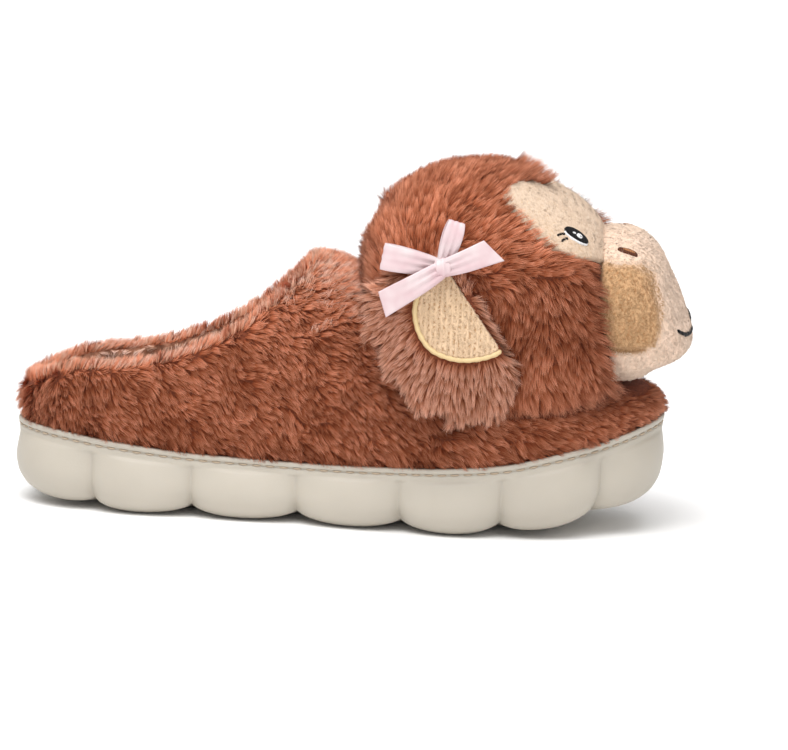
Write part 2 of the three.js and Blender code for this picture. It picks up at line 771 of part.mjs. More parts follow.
// An embroidered eye: a raised oval on the face panel
function makeEye(side) {
  const base = 2 * seatGap + plushThickness;
  const thread = headForm(base + stitchHeight).subtract(headForm(base));
  const oval = ovalPoints(
    side * eyePlace.side * headHalfWidth,
    eyePlace.up * headRadius,
    eyeHalfWide,
    eyeHalfTall,
    -side * eyeSpin,
  );
  return mainBody(thread.intersect(turnedSlab(oval, faceTurn, 0, 2 * headRadius)));
}

// Embroidery on the muzzle, in an outline seen along one direction through its centre
function makeMuzzleStitch(outline, turn) {
  const thread = muzzleForm(seatGap + stitchHeight).subtract(muzzleForm(seatGap));
  return mainBody(thread.intersect(turnedSlab(outline, turn, 0, 2 * headRadius, muzzlePlace)));
}

function makeNostril(side) {
  const place = [side * nostrilPlace.side * muzzleHalfWidth, nostrilPlace.up * headRadius];
  const oval = ovalPoints(...place, nostrilHalfWide, nostrilHalfTall, side * nostrilSpin, 10);
  return makeMuzzleStitch(oval, nostrilTurn);
}

function makeMouth() {
  const right = mouthRows.map((row) => [row.side * muzzleHalfWidth, row.up * headRadius]);
  const left = right.slice(1).reverse().map(([side, up]) => [-side, up]);
  const line = smoothOpen([...left, ...right], 18);
  const upper = line.map(([side, up]) => [side, up + mouthWidth / 2]);
  const lower = line.map(([side, up]) => [side, up - mouthWidth / 2]).reverse();
  return makeMuzzleStitch([...upper, ...lower], mouthTurn);
}

// Ears: flat stuffed pads, each with a panel and a band of satin stitch on its outer face
const earOutline = smoothClosed(
  earRows.map((row) => [row.along * earLength, row.up * earLength]),
  26,
);
const earForm = (grow) =>
  makePillow({
    outline: grownBy(earOutline, grow),
    halfWidth: earHalfThickness + grow,
    power: () => earPower,
    rows: 6,
  });

// The outer half of a side prism, on the side that the ear faces
function outerSlab(outline, side) {
  const shape = new THREE.Shape(outline.map(([x, z]) => new THREE.Vector2(x, z)));
  const slab = new THREE.ExtrudeGeometry(shape, { depth: 3 * earHalfThickness, bevelEnabled: false });
  slab.rotateX(Math.PI / 2);
  if (side > 0) slab.translate(0, 3 * earHalfThickness, 0);
  return solidFrom(slab);
}

const patchArc = smoothOpen(
  patchRows.map((row) => [row.along * earLength, row.up * earLength]),
  16,
);
const insetArc = (inset) => grownBy(patchArc, -inset);

function makeEarPanel(side) {
  const sheet = earForm(seatGap + plushThickness).subtract(earForm(seatGap));
  return mainBody(sheet.intersect(outerSlab(insetArc(edgingWidth + seatGap), side)));
}

function makeEarEdging(side) {
  const thread = earForm(seatGap + plushThickness + stitchHeight).subtract(earForm(seatGap));
  const band = [...patchArc, ...insetArc(edgingWidth).reverse()];
  return mainBody(thread.intersect(outerSlab(band, side)));
}

// Ribbon: a strip of even thickness through stations of [point, half width, across, out]
function makeRibbon(stations, closed) {
  const points = [];
  for (const { at, half, across, out } of stations) {
    for (const [a, b] of [[-1, -0.5], [1, -0.5], [1, 0.5], [-1, 0.5]]) {
      const corner = at.clone().addScaledVector(across, a * half);
      points.push(corner.addScaledVector(out, b * ribbonThickness));
    }
  }
  const faces = [];
  const count = closed ? stations.length : stations.length - 1;
  for (let s = 0; s < count; s++) {
    for (let k = 0; k < 4; k++) {
      const [a, b] = [4 * s + k, 4 * s + ((k + 1) % 4)];
      const shift = 4 * ((s + 1) % stations.length) - 4 * s;
      faces.push([a, b, b + shift], [a, b + shift, a + shift]);
    }
  }
  if (!closed) {
    const last = 4 * stations.length - 4;
    faces.push([0, 2, 1], [0, 3, 2], [last, last + 1, last + 2], [last, last + 2, last + 3]);
  }
  return solidOf(points, faces);
}

// A bow's loop leaves the knot, turns at its tip and comes back behind itself
function makeBowLoop({ turn, reach, width }) {
  const along = new THREE.Vector3(Math.cos(turn), 0, Math.sin(turn));
  const across = new THREE.Vector3(-Math.sin(turn), 0, Math.cos(turn));
  const depth = new THREE.Vector3(0, -1, 0);
  const stations = [];
  const count = 16;
  for (let i = 0; i < count; i++) {
    const angle = (2 * Math.PI * i) / count;
    const share = (1 - Math.cos(angle)) / 2;
    const height = (loopDepth / 2) * Math.sin(angle) * (0.35 + 0.65 * share);
    const at = along.clone().multiplyScalar(share * reach).addScaledVector(depth, height);
    const out = along.clone().multiplyScalar(-Math.cos(angle)).addScaledVector(depth, Math.sin(angle));
    const half = (ribbonWidth / 2) * width * THREE.MathUtils.lerp(bowPinch, 1, Math.sqrt(share));
    stations.push({ at, half, across, out: out.normalize() });
  }
  return makeRibbon(stations, true);
}

// A bow's tail is a flat strip with a slow wave
function makeBowTail({ turn, reach, width, skew }) {
  const along = new THREE.Vector3(Math.cos(turn), 0, Math.sin(turn));
  const across = new THREE.Vector3(-Math.sin(turn), 0, Math.cos(turn));
  const depth = new THREE.Vector3(0, -1, 0);
  const stations = [];
  for (let i = 0; i <= 6; i++) {
    const share = i / 6;
    const wave = tailLift + tailWave * Math.sin(share * Math.PI * 1.5);
    const at = along.clone().multiplyScalar(share * reach).addScaledVector(depth, wave);
    const half = (ribbonWidth / 2) * width * THREE.MathUtils.lerp(tailPinch, 1, Math.sqrt(share));
    const slant = across.clone().addScaledVector(along, skew * share ** 3);
    stations.push({ at, half, across: slant, out: depth });
  }
  return makeRibbon(stations, false);
}

const knotForm = (grow) =>
  makePillow({
    outline: polarOutline(() => knotRadius + grow, 12),
    halfWidth: knotHalfDepth + grow,
    power: () => 3,
    rows: 6,
  });

// The scene graph: head, ears and bow are groups placed on the slipper
const slipper = new THREE.Group();
const head = new THREE.Group();
head.position.copy(headCentre);
head.rotation.x = headLean;
slipper.add(head);

function addEar(side) {
  const ear = new THREE.Group();
  const across = side * (headHalfWidth + earStand);
  ear.position.set(earMiddle.along * headRadius, across, earMiddle.up * headRadius);
  ear.rotation.set(-headLean, 0, -side * earFlare);
  head.add(ear);
  return ear;
}
const earRight = addEar(-1);
const earLeft = addEar(1);

const bow = new THREE.Group();
bow.position.set(knotPlace.along * earLength, -knotStandoff, knotPlace.up * earLength);
earRight.add(bow);
slipper.updateMatrixWorld(true);

const inSlipper = (solid, group) => moved(solid, group.matrixWorld);

// A mesh in its group from a solid given in the slipper's frame
function addMesh(group, name, solid, colour, roughness) {
  const material = new THREE.MeshStandardMaterial({ color: colour, roughness, metalness: 0 });
  const local = moved(solid, group.matrixWorld.clone().invert());
  const mesh = new THREE.Mesh(geometryOf(local), material);
  mesh.name = name;
  group.add(mesh);
  return mesh;
}

// Whether a point of the slipper lies in the head, grown by a margin
function inHead(point, margin) {
  const at = head.worldToLocal(point.clone());
  const angle = Math.atan2(at.z, at.x);
  const power = headPowerAt(angle);
  const reach = Math.hypot(at.x, at.z) / (headRadius * headReach(angle) + margin);
  const side = Math.abs(at.y) / (headHalfWidth + margin);
  return reach ** power + side ** power < 1;
}

// Whether a point of the slipper lies in the muzzle, grown by a margin
function inMuzzle(point, margin) {
  const at = head.worldToLocal(point.clone());
  const [x, z] = [at.x - muzzlePlace[0], at.z - muzzlePlace[1]];
  const reach = Math.hypot(x, z) / (headRadius * muzzleReach(Math.atan2(z, x)) + margin);
  const side = Math.abs(at.y) / (muzzleHalfWidth + margin);
  return reach ** muzzlePower + side ** muzzlePower < 1;
}

// Whether a point lies in the last, grown by a margin
function inLast(point, margin) {
  const waist = rimAt(point.x) + bulgeAt(point.x);
  const rise = Math.max((point.z - waist) / (crestAt(point.x) + margin - waist), 0);
  const side = Math.abs(point.y - middleAt(point.x)) / (halfWidthAt(point.x) + margin);
  return rise ** archPower + side ** archPower < 1;
}

// Pile locks over the vamp and quarters, in staggered rows, swept back and down
function upperLocks() {
  const loop = outlineLoop(coarseSteps);
  const comb = new THREE.Vector3(-1, 0, -0.6);
  const locks = [];
  lockTilts.forEach((degrees, row) => {
    for (let i = row % 2; i < loop.length; i += 2) {
      const surface = (u, v) => {
        const spot = (i + u + loop.length) % loop.length;
        return lastPoint(loop[spot], loop[(loop.length - spot) % loop.length], v, 0);
      };
      const tilt = THREE.MathUtils.degToRad(degrees + 6 * random());
      const root = surface(0, tilt);
      const out = surface(1, tilt)
        .sub(surface(-1, tilt))
        .cross(surface(0, tilt + 0.05).sub(surface(0, tilt - 0.05)))
        .normalize();
      const size = 0.85 + 0.3 * random();
      const lock = makeLock(root, out, comb, size);
      const spread = lockLength * size;
      const tip = root.clone().addScaledVector(comb, spread / comb.length());
      const covered = [root, tip].some(
        (spot) => inHead(spot, lockClear) || inMuzzle(spot, 1.6 * lockClear),
      );
      const atEdge = root.z > collarAt(root.x) - lockWidth || root.z < rimAt(root.x) + lockWidth / 2;
      if (!covered && !atEdge) locks.push(lock);
    }
  });
  return locks;
}

// Pile locks over the crown, back and cheeks of the head, swept back and down from the face
function headLocks() {
  const locks = [];
  const faceOut = new THREE.Vector3(Math.cos(faceTurn), 0, Math.sin(faceTurn));
  const comb = new THREE.Vector3(-1, 0, -0.5);
  const knot = head.worldToLocal(bow.getWorldPosition(new THREE.Vector3()));
  for (let row = 0; row < headLockRows; row++) {
    const tilt = THREE.MathUtils.degToRad(THREE.MathUtils.lerp(-58, 58, row / (headLockRows - 1)));
    for (let i = 0; i < headLocksAround; i++) {
      const angle = (2 * Math.PI * (i + (row % 2) / 2 + 0.4 * random())) / headLocksAround;
      const root = headPoint(angle, tilt);
      const out = outwardAt((u, v) => headPoint(u, v), angle, tilt, 0.03).negate();
      const size = 0.85 + 0.3 * random();
      const world = head.localToWorld(root.clone());
      if (root.dot(faceOut) > faceMargin * headRadius || inLast(world, lockClear)) continue;
      if (root.distanceTo(knot) < bowReach + lockWidth) continue;
      const reach = comb.clone().setLength(lockLength * size);
      const tip = head.localToWorld(root.clone().add(reach));
      if ([world, tip].some(inEarShadow) || inMuzzle(world, lockLength)) continue;
      locks.push(makeLock(root, out, comb, size));
    }
  }
  return locks;
}

// Whether a point of the slipper lies behind or beside an ear
function inEarShadow(point) {
  const ear = point.y < 0 ? earRight : earLeft;
  const at = ear.worldToLocal(point.clone());
  const reach = Math.hypot(at.x, at.z);
  return Math.abs(point.y) > headHalfWidth / 2 && reach < earLength * earShadow;
}

// Pile locks round the free edge of an ear
function earLocks() {
  const locks = [];
  const comb = new THREE.Vector3(-0.6, 0, -1);
  earOutline.forEach(([x, z], i) => {
    const angle = THREE.MathUtils.radToDeg(Math.atan2(z, x));
    const onChord = angle > -40 && angle < 112;
    if (onChord || i % 2) return;
    const out = new THREE.Vector3(x, 0, z).normalize();
    locks.push(makeLock(new THREE.Vector3(x, 0, z), out, comb, earLockSize));
  });
  return locks;
}

// Upper: outer last less inner last, opened at the collar and underneath
const outerLast = makeLast(coarseSteps, archTilts, 0, 2 * ledgeDrop);
const innerLast = makeLast(innerSteps, innerTilts, wall, 4 * ledgeDrop);
const shell = outerLast.subtract(innerLast).subtract(collarCutter()).subtract(footCutter());
const upper = joined([mainBody(shell), ...upperLocks()]);

// Head, muzzle and ears are seated on the vamp and on each other
const lastSeat = makeLast(coarseSteps, archTilts, -1.5 * seatGap, 2 * ledgeDrop);
const headSeat = inSlipper(headForm(seatGap), head);
const headSolid = mainBody(inSlipper(headForm(0), head).subtract(lastSeat));
const headFur = joined([headSolid, ...headLocks().map((lock) => inSlipper(lock, head))]);
const muzzle = mainBody(inSlipper(makeMuzzle(), head).subtract(lastSeat));
const face = mainBody(inSlipper(makeFace(), head).subtract(lastSeat));

addMesh(slipper, "outsole", makeOutsole(), colours.foam, 0.6);
addMesh(slipper, "insole", makeInsole(), colours.fur, 1);
addMesh(slipper, "upper", upper, colours.fur, 1);
addMesh(head, "head", headFur, colours.fur, 1);
addMesh(head, "face_panel", face, colours.plush, 1);
addMesh(head, "muzzle", muzzle, colours.pale, 1);
addMesh(head, "mouth", inSlipper(makeMouth(), head), colours.thread, 0.6);

for (const [side, name, ear] of [[-1, "right", earRight], [1, "left", earLeft]]) {
  const pad = joined([earForm(0), ...earLocks()]);
  const fur = inSlipper(pad, ear).subtract(headSeat).subtract(lastSeat);
  const panel = inSlipper(makeEarPanel(side), ear).subtract(headSeat);
  const edging = inSlipper(makeEarEdging(side), ear).subtract(headSeat);
  addMesh(head, "eye_" + name, inSlipper(makeEye(side), head), colours.thread, 0.5);
  addMesh(head, "nostril_" + name, inSlipper(makeNostril(side), head), colours.nostril, 0.8);
  addMesh(ear, "ear_" + name, mainBody(fur), colours.fur, 1);
  addMesh(ear, "ear_panel_" + name, mainBody(panel), colours.plush, 1);
  addMesh(ear, "ear_edging_" + name, mainBody(edging), colours.gold, 0.5);
}

// Bow: two loops and two tails round a knot
const knot = inSlipper(knotForm(0), bow);
const knotSeat = inSlipper(knotForm(seatGap), bow);
const trimHeight = 2 * seatGap + plushThickness + stitchHeight;
const knotOnEar = mainBody(
  knot.subtract(inSlipper(earForm(trimHeight), earRight)).subtract(headSeat),
);
addMesh(bow, "bow_knot", knotOnEar, colours.satin, 0.35);
for (const row of bowRows) {
  const ribbon = row.loop ? makeBowLoop(row) : makeBowTail(row);
  addMesh(bow, row.name, mainBody(inSlipper(ribbon, bow).subtract(knotSeat)), colours.satin, 0.35);
}

const part = new THREE.Group();
slipper.position.x = -heelSeatShare * soleLength;
part.add(slipper);

export default part;
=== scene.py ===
# A plush monkey slipper: long pile, short nap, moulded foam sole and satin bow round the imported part.
import math

import bmesh
import bpy
import numpy as np
from mathutils import Matrix, Vector
from mathutils.bvhtree import BVHTree
from mathutils.kdtree import KDTree


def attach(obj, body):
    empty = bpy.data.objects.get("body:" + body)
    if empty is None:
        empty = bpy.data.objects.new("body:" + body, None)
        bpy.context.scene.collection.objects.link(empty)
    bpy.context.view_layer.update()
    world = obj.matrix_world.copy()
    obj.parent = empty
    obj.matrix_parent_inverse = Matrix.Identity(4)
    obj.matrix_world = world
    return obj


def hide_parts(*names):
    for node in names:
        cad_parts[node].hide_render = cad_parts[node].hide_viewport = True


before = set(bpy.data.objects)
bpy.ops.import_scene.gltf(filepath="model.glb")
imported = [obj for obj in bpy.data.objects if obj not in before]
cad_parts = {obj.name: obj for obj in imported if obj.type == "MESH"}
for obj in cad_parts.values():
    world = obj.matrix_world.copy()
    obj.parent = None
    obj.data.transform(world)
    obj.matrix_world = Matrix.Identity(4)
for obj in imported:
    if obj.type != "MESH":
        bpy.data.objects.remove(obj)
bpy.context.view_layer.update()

# Lengths below are millimetres from the sole's heel end, with the floor at 0 and the toe at +X.
MM = 0.001
SOLE_LENGTH = 270.0
BALL_WIDTH = 105.0
ORIGIN = np.array([0.2 * SOLE_LENGTH, 0.0, 0.0])  # the part's origin lies under the heel


def to_frame(points):
    return (np.asarray(points, float) - ORIGIN) * MM


def from_frame(points):
    return np.asarray(points, float) / MM + ORIGIN


# Camera: the photograph's view, from the outer side and a little above
AZIMUTH = math.radians(2.0)
ELEVATION = math.radians(9.0)
ROLL = math.radians(2.5)
DISTANCE = 1988.0
FOCAL_LENGTH = 219.0
TARGET = (156.2, 0.0, 57.6)


def add_camera():
    back = Vector(
        (
            math.sin(AZIMUTH) * math.cos(ELEVATION),
            -math.cos(AZIMUTH) * math.cos(ELEVATION),
            math.sin(ELEVATION),
        )
    )
    right = (-back).cross(Vector((0, 0, 1))).normalized()
    up = back.cross(right)
    turned_right = right * math.cos(ROLL) + up * math.sin(ROLL)
    turned_up = up * math.cos(ROLL) - right * math.sin(ROLL)
    data = bpy.data.cameras.new("camera")
    data.lens = FOCAL_LENGTH
    data.sensor_width = 36.0
    data.clip_end = 50.0
    camera = bpy.data.objects.new("camera", data)
    bpy.context.scene.collection.objects.link(camera)
    place = Vector(to_frame(TARGET)) + back * DISTANCE * MM
    basis = Matrix((turned_right, turned_up, back)).transposed().to_4x4()
    camera.matrix_world = Matrix.Translation(place) @ basis
    bpy.context.scene.camera = camera


# Light: a white studio with a wide glow from the sky, a soft key overhead and a fill in front.
# Its lengths are metres.
LIT_MIDDLE = (0.09, 0.0, 0.07)
SOFT_LIGHTS = (("key", (-0.1, -0.6, 1.6), 0.9, 9.0), ("fill", (0.5, -1.5, 0.5), 1.1, 3.0))
SKY_AIM = (0.12, 0.35, -1.0)
FLOOR_SIZE = 60.0
FLOOR_DROP = 0.0004


def add_lamp(data, aim, place=(0.0, 0.0, 0.0)):
    lamp = bpy.data.objects.new(data.name, data)
    bpy.context.scene.collection.objects.link(lamp)
    lamp.rotation_euler = Vector(aim).to_track_quat("-Z", "Y").to_euler()
    lamp.location = place


def add_studio():
    world = bpy.data.worlds.new("studio")
    world.use_nodes = True
    feed(world.node_tree, world.node_tree.nodes["Background"], Color=(*WHITE, 1.0), Strength=0.6)
    bpy.context.scene.world = world
    for name, place, size, energy in SOFT_LIGHTS:
        light = bpy.data.lights.new(name, "AREA")
        light.shape = "DISK"
        light.size = size
        light.energy = energy
        add_lamp(light, Vector(LIT_MIDDLE) - Vector(place), place)
    sky = bpy.data.lights.new("sky", "SUN")
    sky.energy = 2.6
    sky.angle = math.radians(60)
    add_lamp(sky, SKY_AIM)
    bpy.context.scene.view_settings.view_transform = "Standard"
    bpy.ops.mesh.primitive_plane_add(size=FLOOR_SIZE, location=(0, 0, -FLOOR_DROP))
    floor = bpy.context.object
    floor.name = "floor"
    floor.data.materials.append(plain_material("floor", (0.93, 0.93, 0.93), 0.6))


# Materials: bump heights are metres, and noise scales are swells per metre
WHITE = (1.0, 1.0, 1.0)
CLOTH = {"Roughness": 0.95, "Sheen_Weight": 0.2}
CURL_SCALE = 820.0
CURL_HEIGHT = 0.00035


def new_material(name):
    material = bpy.data.materials.new(name)
    material.use_nodes = True
    tree = material.node_tree
    return material, tree, tree.nodes["Principled BSDF"]


def feed(tree, node, **inputs):
    """Gives a node's named inputs a value, or the output that feeds them."""
    for name, source in inputs.items():
        socket = node.inputs[name.replace("_", " ")]
        if isinstance(source, bpy.types.NodeSocket):
            tree.links.new(source, socket)
        else:
            socket.default_value = source
    return node


def plain_material(name, colour, roughness):
    material, tree, shader = new_material(name)
    feed(tree, shader, Base_Color=(*colour, 1.0), Roughness=roughness)
    return material


def ramp(tree, factor, *stops):
    node = tree.nodes.new("ShaderNodeValToRGB")
    elements = node.color_ramp.elements
    while len(elements) < len(stops):
        elements.new(0.5)
    for element, (position, colour) in zip(elements, stops):
        element.position = position
        element.color = (*colour, 1.0)
    return feed(tree, node, Fac=factor).outputs["Color"]


def object_coordinates(tree):
    for node in tree.nodes:
        if node.bl_idname == "ShaderNodeTexCoord":
            return node.outputs["Object"]
    return tree.nodes.new("ShaderNodeTexCoord").outputs["Object"]


def noise(tree, scale, detail=3.0, roughness=0.55):
    node = tree.nodes.new("ShaderNodeTexNoise")
    feed(tree, node, Scale=scale, Detail=detail, Roughness=roughness, Vector=object_coordinates(tree))
    return node.outputs["Fac"]


def waves(tree, direction, scale, **values):
    node = tree.nodes.new("ShaderNodeTexWave")
    node.bands_direction = direction
    feed(tree, node, Scale=scale, Vector=object_coordinates(tree), **values)
    return node.outputs["Fac"]


def bump(tree, height, distance, strength=1.0):
    node = tree.nodes.new("ShaderNodeBump")
    return feed(tree, node, Height=height, Distance=distance, Strength=strength).outputs["Normal"]


def mix(tree, factor, first, second, blend="MIX"):
    node = tree.nodes.new("ShaderNodeMix")
    node.data_type = "RGBA"
    node.blend_type = blend
    for socket, value in ((0, factor), (6, first), (7, second)):
        if isinstance(value, bpy.types.NodeSocket):
            tree.links.new(value, node.inputs[socket])
        else:
            node.inputs[socket].default_value = (*value, 1.0) if isinstance(value, tuple) else value
    return node.outputs[2]


def reckon(tree, operation, first, second):
    node = tree.nodes.new("ShaderNodeMath")
    node.operation = operation
    for socket, value in zip(node.inputs, (first, second)):
        if isinstance(value, bpy.types.NodeSocket):
            tree.links.new(value, socket)
        else:
            socket.default_value = value
    return node.outputs[0]


def attribute(tree, name):
    node = tree.nodes.new("ShaderNodeAttribute")
    node.attribute_name = name
    return node.outputs["Fac"]


def pile_material(name, root, middle, tip, pale, dark):
    """Long pile: dark at the root as painted shade deep in the pile, paler to the tip, and uneven from
    lock to lock.
    """
    material, tree, shader = new_material(name)
    along = ramp(tree, attribute(tree, "rise"), (0.0, root), (0.45, middle), (1.0, tip))
    shade = ramp(tree, attribute(tree, "shade"), (0.12, dark), (0.5, WHITE), (0.9, pale))
    feed(
        tree, shader, Base_Color=mix(tree, 1.0, along, shade, "MULTIPLY"), Roughness=0.8,
        Specular_IOR_Level=0.08, Sheen_Weight=0.2, Sheen_Roughness=0.45,
        Sheen_Tint=(1.0, 0.68, 0.52, 1.0),
    )
    return material


def under_material(name, colour, dark, inner):
    """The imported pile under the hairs' tips, of another tone where the attribute inner says so."""
    material, tree, shader = new_material(name)
    grain = noise(tree, 900.0, 4.0, 0.7)
    outer = ramp(tree, grain, (0.35, dark), (0.65, colour))
    tone = mix(tree, attribute(tree, "inner"), outer, inner)
    feed(tree, shader, Base_Color=tone, Normal=bump(tree, grain, 0.0012), Roughness=0.95)
    return material


def nap_material(name, light, dark, gap_shade):
    """Short curly nap: a fine fleck of painted shade in the gaps between curls over a soft slow tone.
    """
    material, tree, shader = new_material(name)
    tone = ramp(tree, noise(tree, 60.0, 2.0), (0.3, dark), (0.7, light))
    curl = noise(tree, CURL_SCALE, 3.0, 0.6)
    # Painted shade in the gaps between curls.
    gaps = ramp(tree, curl, (0.36, gap_shade), (0.5, WHITE))
    colour = mix(tree, 1.0, tone, gaps, "MULTIPLY")
    feed(tree, shader, Base_Color=colour, Normal=bump(tree, curl, CURL_HEIGHT), **CLOTH)
    return material


def foam_material():
    """Cream moulded foam: satin skin with a faint pebble and slow clouding."""
    material, tree, shader = new_material("foam")
    cloud = noise(tree, 22.0)
    rough = tree.nodes.new("ShaderNodeMapRange")
    feed(tree, rough, Value=cloud, To_Min=0.4, To_Max=0.58)
    feed(
        tree, shader,
        Base_Color=ramp(tree, cloud, (0.3, (0.41, 0.37, 0.31)), (0.7, (0.455, 0.415, 0.35))),
        Normal=bump(tree, noise(tree, 1400.0, 2.0), 0.00008, 0.6), Roughness=rough.outputs["Result"],
        Subsurface_Weight=0.08, Subsurface_Radius=(0.004, 0.003, 0.002),
    )
    return material


def thread_material(name, colour, dark, scale):
    """Satin stitch: close parallel threads with a soft gloss and painted shade between them."""
    material, tree, shader = new_material(name)
    threads = waves(tree, "X", scale, Distortion=1.5)
    feed(
        tree, shader, Base_Color=ramp(tree, threads, (0.1, dark), (0.6, colour)),
        Normal=bump(tree, threads, 0.00025), Roughness=0.5, Specular_IOR_Level=0.1,
    )
    return material


def satin_material():
    """Pale pink ribbon with a fine rib across it and a soft sheen."""
    material, tree, shader = new_material("ribbon")
    slow = noise(tree, 90.0, 2.0)
    feed(
        tree, shader,
        Base_Color=ramp(tree, slow, (0.3, (0.58, 0.40, 0.42)), (0.68, (0.67, 0.57, 0.57))),
        Normal=bump(tree, waves(tree, "DIAGONAL", 900.0), 0.00006, 0.5),
        Roughness=0.38, Sheen_Weight=0.15, Sheen_Roughness=0.3,
    )
    return material


def rib_material(name, light, dark, gap):
    """Short nap in close upright rows, with painted shade between them."""
    material, tree, shader = new_material(name)
    rows = waves(tree, "X", 150.0, Distortion=2.2, Detail=2.0, Detail_Scale=3.0)
    full = ramp(tree, noise(tree, 900.0, 2.0), (0.4, (0.0, 0.0, 0.0)), (0.56, WHITE))
    height = reckon(tree, "MAXIMUM", rows, full)
    # Painted shade between the rows.
    tone = ramp(tree, height, (0.1, gap), (0.5, WHITE))
    base = ramp(tree, noise(tree, 70.0, 2.0), (0.3, dark), (0.7, light))
    colour = mix(tree, 1.0, base, tone, "MULTIPLY")
    feed(tree, shader, Base_Color=colour, Normal=bump(tree, height, 0.0005), **CLOTH)
    return material


def two_tone_material():
    """The muzzle's cloth: pale in front, golden and more open at the sides, dark in its seams, with
    painted shade in its nap's gaps and in the chin crease.
    """
    material, tree, shader = new_material("muzzle_plush")
    slow = noise(tree, 55.0, 2.0)
    pale = ramp(tree, slow, (0.3, (0.65, 0.47, 0.345)), (0.7, (0.75, 0.55, 0.43)))
    gold = ramp(tree, slow, (0.3, (0.46, 0.26, 0.125)), (0.7, (0.54, 0.33, 0.17)))
    share = attribute(tree, "gold")
    curl = noise(tree, CURL_SCALE, 3.0, 0.6)
    # Painted shade in the gaps between curls, deeper where the golden nap is open.
    fine = ramp(tree, curl, (0.32, (0.86, 0.78, 0.72)), (0.44, WHITE))
    open_gap_shade = ramp(tree, curl, (0.38, (0.66, 0.56, 0.44)), (0.52, WHITE))
    gaps = mix(tree, share, fine, open_gap_shade)
    colour = mix(tree, 1.0, mix(tree, share, pale, gold), gaps, "MULTIPLY")
    # Dark along the side seams, and painted shade in the chin crease.
    colour = mix(tree, attribute(tree, "seam"), colour, (0.36, 0.2, 0.09))
    feed(tree, shader, Base_Color=colour, Normal=bump(tree, curl, CURL_HEIGHT), **CLOTH)
    return material


def cord_material(name, colour, dark, pitch):
    """Satin stitch laid across a band: the threads follow its length, with painted shade between them.
    """
    material, tree, shader = new_material(name)
    turn = reckon(tree, "MULTIPLY", attribute(tree, "along"), 2 * math.pi / pitch)
    wave = reckon(tree, "SINE", turn, 0.0)
    feed(tree, shader, Base_Color=ramp(tree, wave, (0.0, dark), (0.5, colour)), Roughness=0.4)
    return material


# Mesh helpers
def mesh_object(name, points, faces, material):
    mesh = bpy.data.meshes.new(name)
    mesh.from_pydata(to_frame(points), [], faces)
    mesh.update()
    piece = bpy.data.objects.new(name, mesh)
    bpy.context.scene.collection.objects.link(piece)
    return dressed(piece, material)


def dressed(piece, material):
    """Shades a piece smooth, gives it its material and puts it on the body."""
    mesh = piece.data
    mesh.polygons.foreach_set("use_smooth", [True] * len(mesh.polygons))
    mesh.materials.clear()
    mesh.materials.append(material)
    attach(piece, "root")
    return piece


def skin_of(node, name, voxel, passes, material, levels=0):
    """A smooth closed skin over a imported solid, which it replaces."""
    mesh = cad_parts[node].data.copy()
    work = bmesh.new()
    work.from_mesh(mesh)
    bmesh.ops.remove_doubles(work, verts=work.verts, dist=1e-6)
    work.to_mesh(mesh)
    work.free()
    piece = bpy.data.objects.new(name, mesh)
    bpy.context.scene.collection.objects.link(piece)
    remesh = piece.modifiers.new("remesh", "REMESH")
    remesh.mode = "VOXEL"
    remesh.voxel_size = voxel * MM
    relax = piece.modifiers.new("relax", "SMOOTH")
    relax.factor = 0.5
    relax.iterations = passes
    if levels:
        piece.modifiers.new("rounder", "SUBSURF").levels = levels
    evaluated = piece.evaluated_get(bpy.context.evaluated_depsgraph_get())
    done = bpy.data.meshes.new_from_object(evaluated)
    piece.modifiers.clear()
    piece.data = done
    done.name = name
    dressed(piece, material)
    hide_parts(node)
    return piece


def face_outward(mesh):
    """Turns every face outward and drops the vertices that carry none."""
    work = bmesh.new()
    work.from_mesh(mesh)
    bmesh.ops.recalc_face_normals(work, faces=work.faces)
    loose = [v for v in work.verts if not v.link_faces]
    bmesh.ops.delete(work, geom=loose, context="VERTS")
    work.to_mesh(mesh)
    work.free()


def grid_faces(rows, across, looped=False, ringed=True, turned_over=False):
    """Quads of a grid of points: looped joins its last row to the first, ringed each row's ends."""
    faces = []
    for row in range(rows if looped else rows - 1):
        here, above = row * across, (row + 1) % rows * across
        for place in range(across if ringed else across - 1):
            after = (place + 1) % across
            corners = (here + place, here + after, above + after, above + place)
            faces.append(corners[:1] + corners[:0:-1] if turned_over else corners)
    return faces


def vertex_arrays(piece):
    """Points in millimetres and normals of a piece's vertices."""
    mesh = piece.data
    points = np.empty(3 * len(mesh.vertices))
    mesh.vertices.foreach_get("co", points)
    normals = np.empty(3 * len(mesh.vertices))
    mesh.vertices.foreach_get("normal", normals)
    return from_frame(points.reshape(-1, 3)), normals.reshape(-1, 3)


def move_vertices(piece, points):
    piece.data.vertices.foreach_set("co", to_frame(points).ravel())
    piece.data.update()


def surface_arrays(piece):
    """Corner points and corner normals of each triangle of a piece."""
    mesh = piece.data
    mesh.calc_loop_triangles()
    points, normals = vertex_arrays(piece)
    corners = np.empty(3 * len(mesh.loop_triangles), dtype=np.int32)
    mesh.loop_triangles.foreach_get("vertices", corners)
    corners = corners.reshape(-1, 3)
    return points[corners], normals[corners]


def scatter(piece, per_square_mm, keep, rng):
    """Random points on a piece with their normals, thinned by keep(points, normals)."""
    corners, normals = surface_arrays(piece)
    cross = np.cross(corners[:, 1] - corners[:, 0], corners[:, 2] - corners[:, 0])
    areas = np.linalg.norm(cross, axis=1) / 2
    middle_normals = unit(normals.sum(axis=1))
    chance = areas * keep(corners.mean(axis=1), middle_normals)
    count = int(chance.sum() * per_square_mm)
    picks = rng.choice(len(areas), size=count, p=chance / chance.sum())
    a = np.sqrt(rng.random(count))
    b = rng.random(count)
    weights = np.stack([1 - a, a * (1 - b), a * b], axis=1)[:, :, None]
    return (corners[picks] * weights).sum(axis=1), unit((normals[picks] * weights).sum(axis=1))


